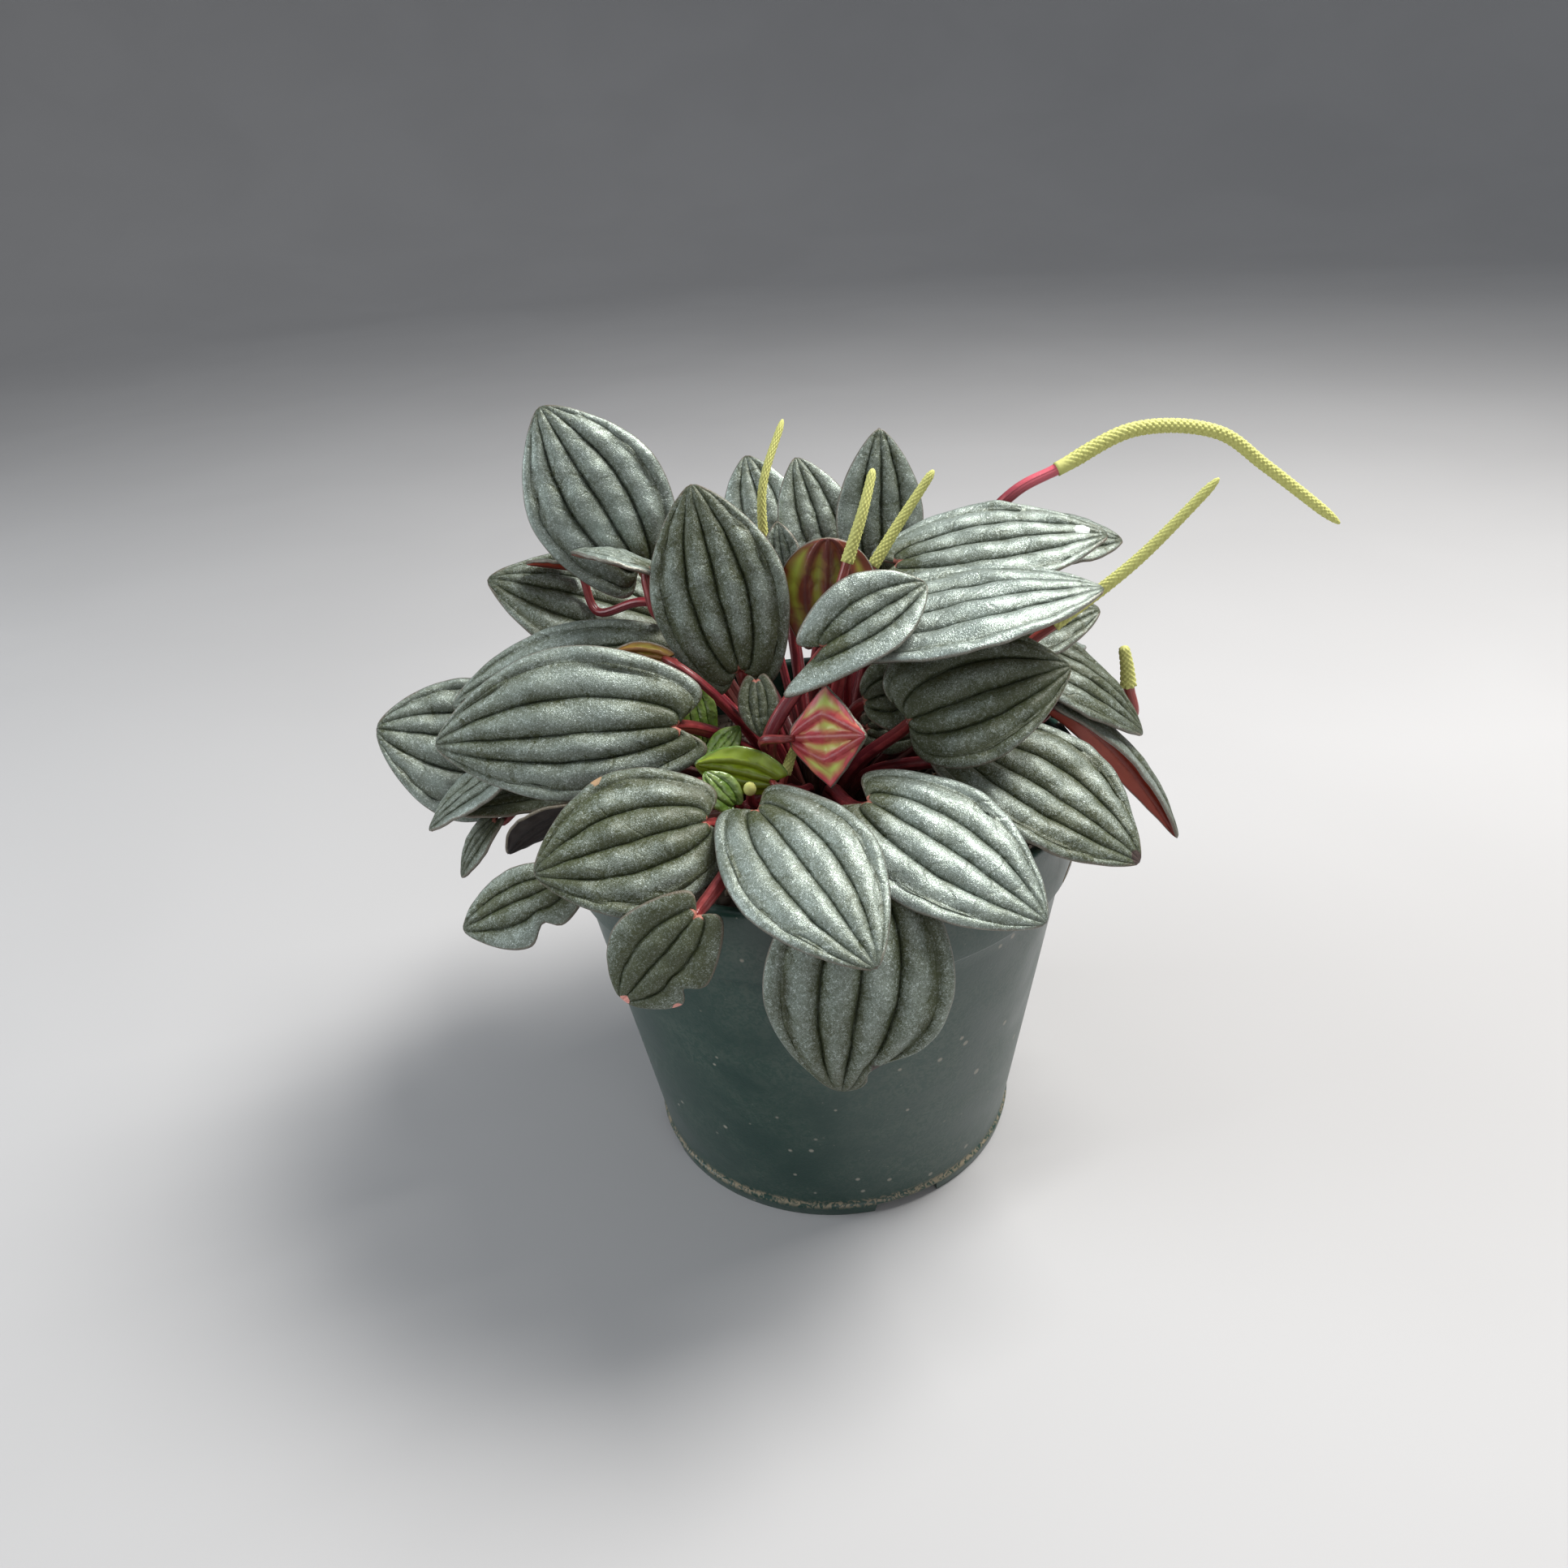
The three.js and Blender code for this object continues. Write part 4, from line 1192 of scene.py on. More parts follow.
@dataclass(frozen=True)
class Crown:
    """The crown and all the stalks that grow from it, in millimetres."""

    leaves: tuple[Leaf, ...]
    spikes: tuple[Spike, ...]
    buds: tuple[Bud, ...]
    soil_top: float = 73
    radius: float = 12
    depth: float = 7
    rise: float = 2.5
    stalk_radius: float = 1.25
    thin_radius: float = 0.8
    thin_width: float = 12
    sides: int = 14
    steps: int = 30
    bud_length: float = 3
    bud_radius: float = 1.1
    amber: float = 0.9
    usual_amber: float = 0.1
    blade_flare: float = -0.25
    spike_share: float = 0.85
    spike_amber: float = 0.2
    spike_flare: float = 0.1

    def foot(self, target: Array) -> Array:
        """Where a stalk leaves the crown.

        Args:
            target: the point that it leaves for.

        Returns:
            The point that it leaves from.
        """
        reach = min(self.radius - 4, 1 + float(np.hypot(target[0], target[1])) * 0.16)
        angle = np.arctan2(target[1], target[0])
        return np.array([reach * np.cos(angle), reach * np.sin(angle), self.soil_top + self.rise])

    def route(self, end: Array, arrive: Array, via: Point | None) -> Array:
        """The line of a stalk.

        Args:
            end: where it ends.
            arrive: the way that it ends in.
            via: a point that it bows over, or none.

        Returns:
            The points of the line, from the crown to the end.
        """
        foot = self.foot(np.array(via, float) if via else end)
        span = float(np.linalg.norm(foot - end))
        shares = np.linspace(0, 1, self.steps)
        if via:
            return through(np.array([foot, via, end - arrive * span * 0.12, end]), shares)
        out = unit(np.array([foot[0], foot[1], 0.0]))
        leave = unit(out * 0.25 + np.array([0, 0, 0.75]))
        return bezier(np.array([foot, foot + leave * span * 0.4, end - arrive * span * 0.3, end]), shares)

    def stalk(self, skin: Skin, path: Array, radius: float, amber: float = 0.0, flare: float = 0.0,
              tint: Colour = NO_TINT) -> None:
        """Adds one stalk.

        Args:
            skin: the mesh that it goes into.
            path: its line.
            radius: its radius near the crown.
            amber: how much of its upper end is amber.
            flare: how far its upper end widens where it meets a blade.
            tint: the colour of its upper end, or none.
        """
        share = np.linspace(0, 1, len(path))
        angle = circle(self.sides)
        phase = draws(skin.name + str(len(skin.points))).uniform(0, 6)
        flutes = 0.035 * np.sin(5 * angle + phase) + 0.02 * np.sin(2 * angle + 2 * phase)
        sheath = 0.35 * np.exp(-share / 0.05)
        spread = flare * smooth(share, 0.9, 1.0)
        radii = radius * (1.15 - 0.25 * share + sheath + spread)[:, None] * (1 + flutes[None, :])
        streak = 0.5 + 0.5 * np.sin(4 * angle + phase)
        shade = np.tile(np.array(tint, float), (len(path), 1))
        shade[:, 3] *= smooth(share, 0.45, 0.85)
        skin.add(tube(path, radii, self.sides), ring_faces(len(path), self.sides), 0,
                 along=np.repeat(share, self.sides), streak=np.tile(streak, len(path)),
                 amber=np.repeat(amber * smooth(share, 0.55, 0.95), self.sides),
                 tint=np.repeat(shade, self.sides, axis=0), bump=0.0)

    def heart(self, skin: Skin) -> None:
        """Adds the crown itself: a low knob with the scars of old leaves."""
        turns, rings = 40, 14
        angle = circle(turns)
        climb = np.linspace(0, 1, rings)
        low, top = self.soil_top - self.depth + GAP, self.soil_top + self.rise + 1.5
        phase = draws(skin.name).uniform(0, 6, 3)
        points = []
        for t in climb:
            wide = self.radius * (1 - 0.99 * t**5)
            knobs = 0.7 * np.sin(5 * angle + phase[0] + 3 * t) + 0.5 * np.sin(9 * angle + phase[1] - 5 * t)
            ring = wide + (knobs - 1.2) * (1 - t**5)
            height = low + (top - low) * t + 0.4 * np.sin(7 * angle + phase[2]) * t * (1 - t)
            points.append(hoop(ring, angle, height))
        # The knob takes the stalks' dark foot colour, part soil and part painted shade
        skin.add(np.vstack(points), ring_faces(rings, turns), 0, along=0.02, streak=0.5, amber=0.0,
                 tint=NO_TINT, bump=0.0)

    def build(self) -> bpy.types.Object:
        """Makes the crown, the stalks and the buds in one mesh."""
        skin = Skin("stems_dressed")
        self.heart(skin)
        for leaf in self.leaves:
            along, _, up, _ = leaf.axes()
            arrive = unit(along * (1 - leaf.tuck) + up * leaf.tuck)
            usual = self.stalk_radius if leaf.width > self.thin_width else self.thin_radius
            radius = leaf.stalk or usual
            below = BLADE_THICKNESS / 2 + GAP + radius * 0.9 * max(0.0, float(arrive @ along))
            end = np.array(leaf.at, float) - up * below
            path = self.route(end, arrive, leaf.via)
            joined = np.array(leaf.at, float) + along * 0.5 - up * 0.1
            path = np.vstack([path, (path[-1] + joined) / 2, joined])
            amber = self.amber if leaf.name in AMBER_STALKS else self.usual_amber
            self.stalk(skin, path, radius, amber, self.blade_flare)
        for spike in self.spikes:
            knots = np.array(spike.path, float)
            arrive = unit(through(knots, np.array([0.0, 0.02]))[1] - knots[0])
            path = self.route(knots[0] - arrive * GAP, arrive, spike.via)
            path = np.vstack([path, knots[0] + arrive * 0.4])
            self.stalk(skin, path, spike.radius * self.spike_share, self.spike_amber, self.spike_flare,
                       spike.stem)
        for bud in self.buds:
            tip, aim = np.array(bud.at, float), unit(np.array(bud.aim, float))
            base = tip - aim * self.bud_length
            self.stalk(skin, self.route(base + aim * 0.5, aim, bud.via), self.thin_radius)
            share = np.linspace(0, 1, 16)
            radii = self.bud_radius * np.sqrt(np.clip(1 - (2 * share - 0.92) ** 2, 0.0005, 1))
            head = tube(base + np.multiply.outer(share * self.bud_length, aim), radii, self.sides)
            dark = smooth(share, 0.9, 0.97)[:, None]
            tint = np.array(BUD_COLOUR) * (1 - dark) + np.array(BUD_TIP) * dark
            skin.add(head, ring_faces(len(share), self.sides), 1, along=1.0, streak=0.5, amber=0.0,
                     tint=np.repeat(tint, self.sides, axis=0), bump=0.5)
        return skin.piece([STALK_FINISH.material(), SPIKE_FINISH.material()], "stem", "stems")


# The pot and its soil

@dataclass(frozen=True)
class Pot:
    """The nursery pot, in millimetres and degrees: a tapered wall, a deeper band and four feet."""

    height: float = 83
    rim_radius: float = 51
    band_radius: float = 49.7
    band_height: float = 15.5
    base_radius: float = 38.2
    step: float = 1.6
    wall: float = 1.5
    rim_thickness: float = 2.1
    edge: float = 0.4
    foot_height: float = 2.8
    foot_width: float = 2.2
    foot_slope: float = 0.8
    foot_ridge: float = 0.5
    floor: float = 1.6
    gap_angle: float = 22
    gap_height: float = 2.5
    gap_depth: float = 12
    first_gap: float = -69.4
    feet: int = 4
    drain_radius: float = 3.2
    drain_circle: float = 24
    turns: int = 180
    softness: float = 0.8
    longest: float = 4
    sharp_angle: float = 40

    def outline(self) -> list[Pair]:
        """The wall's outline, from the middle of the floor outside, over the rim, and back inside."""
        band_foot = self.height - self.band_height
        neck = self.band_radius - self.step
        inside = self.foot_height + self.floor
        rough = [
            (0.01, self.foot_height),
            (self.base_radius - self.foot_width - self.foot_slope, self.foot_height),
            (self.base_radius - self.foot_width, 0),
            (self.base_radius, 0),
            (self.base_radius + self.foot_ridge, self.foot_height - self.foot_ridge),
            (self.base_radius + self.foot_ridge, self.foot_height),
            (self.base_radius, self.foot_height + self.foot_ridge),
            (neck, band_foot - self.edge / 2),
            (self.band_radius - self.edge, band_foot),
            (self.band_radius, band_foot + self.edge),
            (self.rim_radius, self.height - 2 * self.edge),
            (self.rim_radius - self.edge, self.height),
            (self.rim_radius - self.rim_thickness + self.edge, self.height),
            (self.rim_radius - self.rim_thickness, self.height - 2 * self.edge),
            (self.band_radius - self.wall, band_foot + self.wall),
            (neck - self.wall, band_foot - self.edge),
            (self.base_radius - self.wall, inside),
            (0.01, inside),
        ]
        return self.softened(rough)

    def softened(self, corners: list[Pair]) -> list[Pair]:
        """The outline with each corner rounded by three points, and long stretches divided.

        Args:
            corners: the outline's corners.

        Returns:
            The points of the rounded outline.
        """
        line = [np.array(corner, float) for corner in corners]
        points = [line[0]]
        for before, corner, after in zip(line, line[1:], line[2:]):
            reach = min(self.edge * self.softness, np.linalg.norm(before - corner) / 2,
                        np.linalg.norm(after - corner) / 2)
            start = corner + unit(before - corner) * reach
            end = corner + unit(after - corner) * reach
            stretch = int(np.linalg.norm(start - points[-1]) // self.longest)
            points += [points[-1] + (start - points[-1]) * k / (stretch + 1) for k in range(1, stretch + 1)]
            points += [start, (start + 2 * corner + end) / 4, end]
        points.append(line[-1])
        return [tuple(point) for point in points]

    def cutters(self) -> bpy.types.Object:
        """One loose mesh with the shapes that cut the gaps between the feet and the drain holes."""
        skin = Skin("pot_cutters")
        wide = self.base_radius * np.sin(np.radians(self.gap_angle / 2))
        inner = self.base_radius - self.gap_depth / 2
        outer = self.base_radius + self.gap_depth / 2
        for k in range(self.feet):
            turn = np.radians(self.first_gap + 360 * k / self.feet)
            out = np.array([np.cos(turn), np.sin(turn), 0])
            side = np.array([-out[1], out[0], 0])
            rise = np.array([0, 0, self.gap_height])
            ends = [(inner, -wide), (outer, -wide), (outer, wide), (inner, wide)]
            low = np.array([out * x + side * y - rise for x, y in ends])
            high = np.array([out * x + side * y * 0.9 + rise for x, y in ends])
            skin.add(np.vstack([low, high]), ring_faces(2, 4))
            hole = np.array([out * self.drain_circle - rise, out * self.drain_circle + 4 * rise])
            skin.add(tube(hole, np.full(2, self.drain_radius), 32), ring_faces(2, 32))
        return link(skin.name, skin.mesh())

    def build(self) -> bpy.types.Object:
        """Makes the pot and cuts it between its feet and at its drain holes."""
        outline = self.outline()
        angle = circle(self.turns)
        wobble = draws("pot").uniform(0, 6, 2)
        points = []
        for radius, z in outline:
            lean = 0.12 * np.sin(2 * angle + wobble[0]) * z / self.height
            lean = lean + 0.05 * np.sin(3 * angle + wobble[1]) * z / self.height
            ring = radius + (lean if radius > 1 else 0)
            points.append(hoop(ring, angle, z))
        skin = Skin("pot_dressed")
        skin.add(np.vstack(points), ring_faces(len(outline), self.turns))
        made = skin.piece([POT_FINISH.material()], "pot", "pot")
        cutters = self.cutters()
        cut = made.modifiers.new("feet", "BOOLEAN")
        cut.operation = "DIFFERENCE"
        cut.solver = "EXACT"
        cut.object = cutters
        done = bpy.data.meshes.new_from_object(made.evaluated_get(bpy.context.evaluated_depsgraph_get()))
        made.modifiers.clear()
        made.data = done
        bpy.data.objects.remove(cutters)
        done.set_sharp_from_angle(angle=np.radians(self.sharp_angle))
        return made


@dataclass(frozen=True)
class Soil:
    """The potting soil: a lumpy top in the pot, with crumbs, pale bits, fibres and a few dry roots."""

    pot: Pot
    top: float = 73
    mound: float = 1.6
    hole: float = 12.7
    hole_depth: float = 7
    inset: float = 2.2
    rings: int = 52
    turns: int = 300
    crumbs: int = 1500
    bits: int = 90
    fibres: int = 46

    def height(self, radius: Array, angle: Array) -> Array:
        """How high the soil stands at a place.

        Args:
            radius: its distance from the pot's axis.
            angle: the way that it lies in.

        Returns:
            The height above the ground.
        """
        mound = self.mound * (1 - (radius / self.pot.band_radius) ** 2)
        lumps = 0.5 * np.sin(5 * angle + radius) + 0.4 * np.cos(9 * angle - 0.6 * radius)
        x, y = radius * np.cos(angle), radius * np.sin(angle)
        fine = 0.22 * np.sin(1.9 * x + 0.8 * np.sin(1.3 * y)) * np.sin(2.1 * y + 0.9 * np.sin(1.1 * x))
        finer = 0.12 * np.sin(4.7 * x + 2.0 * np.sin(3.1 * y)) * np.sin(5.3 * y + 1.7 * np.sin(2.3 * x))
        return self.top + mound + lumps + fine + finer

    def body(self) -> bpy.types.Object:
        """Makes the soil itself."""
        pot = self.pot
        band_foot = pot.height - pot.band_height
        outer = pot.band_radius - self.inset
        angle = circle(self.turns)
        shape = [(pot.base_radius - self.inset, pot.foot_height + pot.floor + GAP),
                 (pot.band_radius - pot.step - self.inset, band_foot - 2 * pot.edge),
                 (outer, band_foot + self.inset)]
        points = [hoop(radius, angle, z) for radius, z in shape]
        for radius in np.linspace(outer, self.hole, self.rings):
            points.append(hoop(radius, angle, self.height(np.full(self.turns, radius), angle)))
        points.append(hoop(self.hole, angle, self.top - self.hole_depth))
        skin = Skin("soil_dressed")
        skin.add(np.vstack(points), ring_faces(len(points), self.turns))
        return skin.piece([SOIL_FINISH.material()], "soil", "soil")

    def lump(self, rng: np.random.Generator, size: float) -> tuple[Array, list[tuple[int, ...]]]:
        """A small rough lump.

        Args:
            rng: the draws that it takes its shape from.
            size: its radius.

        Returns:
            Its points round their middle, and its faces.
        """
        sides, rings = 7, 5
        tilt = np.linspace(0.35, np.pi - 0.35, rings)
        angle = circle(sides)
        ring = np.sin(tilt)[:, None]
        ball = np.stack([ring * np.cos(angle), ring * np.sin(angle),
                         np.broadcast_to(-np.cos(tilt)[:, None], (rings, sides))], axis=-1).reshape(-1, 3)
        rough = 1 + rng.uniform(-0.28, 0.28, (len(ball), 1))
        stretch = rng.uniform(0.6, 1.15, 3)
        return ball * rough * stretch * size, ring_faces(rings, sides)

    def scatter(self, name: str, count: int, sizes: Pair, finish: Finish) -> bpy.types.Object:
        """Makes many lumps that lie on the soil.

        Args:
            name: the piece's name.
            count: how many there are.
            sizes: the smallest and the largest radius.
            finish: their finish.

        Returns:
            The object that holds them all.
        """
        rng = draws(name)
        skin = Skin(name)
        outer = self.pot.band_radius - self.inset - 1.2
        for _ in range(count):
            radius = np.sqrt(rng.uniform((self.hole + 1) ** 2, outer**2))
            angle = rng.uniform(0, 2 * np.pi)
            size = sizes[0] + (sizes[1] - sizes[0]) * rng.uniform() ** 2.5
            points, faces = self.lump(rng, size)
            z = self.height(np.array(radius), np.array(angle)) + size * 0.25
            skin.add(points + [radius * np.cos(angle), radius * np.sin(angle), z], faces)
        return skin.piece([finish.material()], "soil")

    def threads(self) -> bpy.types.Object:
        """Makes the fibres on the soil, and the few dry roots that hang at the rim."""
        rng = draws("soil_threads")
        skin = Skin("soil_threads")
        outer = self.pot.band_radius - self.inset - 2
        for _ in range(self.fibres):
            radius, angle = np.sqrt(rng.uniform(200, outer**2)), rng.uniform(0, 2 * np.pi)
            way, bend, length = rng.uniform(0, 6.3), rng.uniform(-0.25, 0.25), rng.uniform(3, 9)
            steps = np.linspace(-0.5, 0.5, 9)
            x = radius * np.cos(angle) + length * steps * np.cos(way + bend * 4 * steps)
            y = radius * np.sin(angle) + length * steps * np.sin(way + bend * 4 * steps)
            far = np.hypot(x, y)
            keep = np.minimum(1, outer / far)
            x, y = x * keep, y * keep
            z = self.height(np.hypot(x, y), np.arctan2(y, x)) + 0.5 + 1.2 * (0.25 - steps**2)
            skin.add(tube(np.column_stack([x, y, z]), np.full(9, rng.uniform(0.09, 0.2)), 6),
                     ring_faces(9, 6))
        for knots in DRY_ROOTS:
            path = through(np.array(knots, float), np.linspace(0, 1, 24))
            skin.add(tube(path, np.linspace(0.16, 0.07, 24), 6), ring_faces(24, 6))
        return skin.piece([FIBRE_FINISH.material()], "soil")

    def build(self) -> None:
        """Makes the soil and everything loose on it."""
        self.body()
        self.scatter("soil_crumbs", self.crumbs, (0.35, 1.5), SOIL_FINISH)
        self.scatter("soil_bits", self.bits, (0.3, 1.0), BIT_FINISH)
        self.threads()


# The studio

@dataclass(frozen=True)
class Studio:
    """The pale floor, the soft lights and the camera, in metres."""

    floor_radius: float = 1.5
    wall_height: float = 0.9
    lens: float = 27.04
    sensor: float = 36.0
    eye: Point = (0.0, -0.2012, 0.1917)
    right: Point = (0.998, -0.001, -0.061)
    above: Point = (0.054, 0.492, 0.869)
    ahead: Point = (-0.029, 0.871, -0.491)
    target: Point = (0, 0, 0.09)
    sky: Colour = (0.86, 0.90, 0.95, 1)
    sky_strength: float = 0.30
    turns: int = 96

    def camera(self) -> None:
        """Sets up the camera at the photograph's place."""
        data = bpy.data.cameras.new("camera")
        data.sensor_width = self.sensor
        data.lens = self.lens
        data.clip_start = 0.01
        made = link("camera", data)
        turn = Matrix((self.right, self.above, -Vector(self.ahead))).transposed().to_4x4()
        made.matrix_world = Matrix.Translation(Vector(np.array(self.eye) - PLANT_MIDDLE * MM)) @ turn
        bpy.context.scene.camera = made

    def floor(self) -> None:
        """Makes a wide floor that rises softly all round."""
        angle = circle(self.turns)
        shape = [(0.02, 0), (0.5, 0), (1.0, 0), (self.floor_radius, 0)]
        bend = np.linspace(0, np.pi / 2, 12)[1:]
        shape += [(self.floor_radius + self.wall_height * np.sin(b), self.wall_height * (1 - np.cos(b)))
                  for b in bend]
        points = np.vstack([hoop(radius, angle, z) for radius, z in shape])
        mesh = bpy.data.meshes.new("floor")
        faces = [tuple(reversed(face)) for face in ring_faces(len(shape), self.turns, False)]
        faces.append(tuple(range(self.turns)))
        mesh.from_pydata(points.tolist(), [], faces)
        mesh.polygons.foreach_set("use_smooth", [True] * len(faces))
        mesh.materials.append(FLOOR_FINISH.material())
        link("floor", mesh)

    def light(self, name: str, place: Point, size: float, power: float, colour: Point) -> None:
        """Hangs a soft square light that looks at the plant.

        Args:
            name: its name.
            place: where it hangs.
            size: how wide it is.
            power: how strong it is, in watts.
            colour: the colour of its light.
        """
        data = bpy.data.lights.new(name, "AREA")
        data.shape = "SQUARE"
        data.size = size
        data.energy = power
        data.color = colour
        aim = Vector(self.target) - Vector(place)
        turn = aim.to_track_quat("-Z", "Y").to_matrix().to_4x4()
        link(name, data).matrix_world = Matrix.Translation(place) @ turn

    def build(self) -> None:
        """Sets up the camera, the floor, the lights and the soft light all round."""
        self.camera()
        self.floor()
        self.light("key", (0.34, 0.14, 0.72), 0.34, 9.5, (1.0, 0.985, 0.95))
        self.light("left_fill", (-0.80, -0.10, 0.42), 0.5, 4.0, (0.90, 0.96, 1.0))
        self.light("front_fill", (0.25, -0.95, 0.6), 0.8, 2.2, (1.0, 0.99, 0.98))
        world = bpy.data.worlds.new("soft_light")
        world.use_nodes = True
        sky = world.node_tree.nodes["Background"]
        sky.inputs["Color"].default_value = self.sky
        sky.inputs["Strength"].default_value = self.sky_strength
        bpy.context.scene.world = world
        bpy.context.scene.view_settings.view_transform = "Standard"


@dataclass(frozen=True)
class Plain(Finish):
    """A plain finish with soft uneven patches of a second colour."""

    first: Colour = (0.6, 0.6, 0.6, 1)
    second: Colour = (0.6, 0.6, 0.6, 1)
    patch_size: float = 3.0

    def paint(self, w: Wiring) -> dict[str, Socket]:
        """Draws the patches."""
        patch = MOTTLE.put(w, size=self.patch_size)["share"]
        return {"Base Color": w.mix(patch, self.first, self.second), "Height": patch}


STALK_FINISH = StalkSkin("stalk", roughness=0.38, coat=0.15, subsurface=0.12, bump_depth=0.12)
SPIKE_FINISH = SpikeSkin("spike", roughness=0.5, subsurface=0.12, subsurface_depth=0.5, bump_depth=0.1)
POT_FINISH = PotPlastic("pot_plastic", coat=0.3, coat_roughness=0.28, bump_depth=0.05)
SOIL_FINISH = Earth("soil", roughness=0.95, specular=0.25, bump_depth=0.5)
BIT_FINISH = Plain("soil_bit", roughness=0.9, first=(0.42, 0.36, 0.27, 1), second=(0.20, 0.14, 0.09, 1),
                   patch_size=1.2)
FIBRE_FINISH = Plain("soil_fibre", roughness=0.8, first=(0.40, 0.29, 0.17, 1),
                     second=(0.17, 0.10, 0.05, 1), patch_size=2.0)
FLOOR_FINISH = Plain("floor", roughness=0.75, first=(0.44, 0.435, 0.44, 1), second=(0.46, 0.455, 0.46, 1),
                     patch_size=200.0)

# The nodes that have one class each, beside the leaves and the spikes
SINGLE_NODES = ("pot", "soil", "stems")

# Stalks whose upper end is amber, where the light comes through them
AMBER_STALKS = ("leaf_top_1",)

# Dry roots that hang over the pot's rim
DRY_ROOTS = (
    ((40.5, -25, 80), (42.3, -27.5, 84.3), (44.8, -28, 81), (43.8, -26.5, 74), (42.6, -27.2, 70.5)),
)
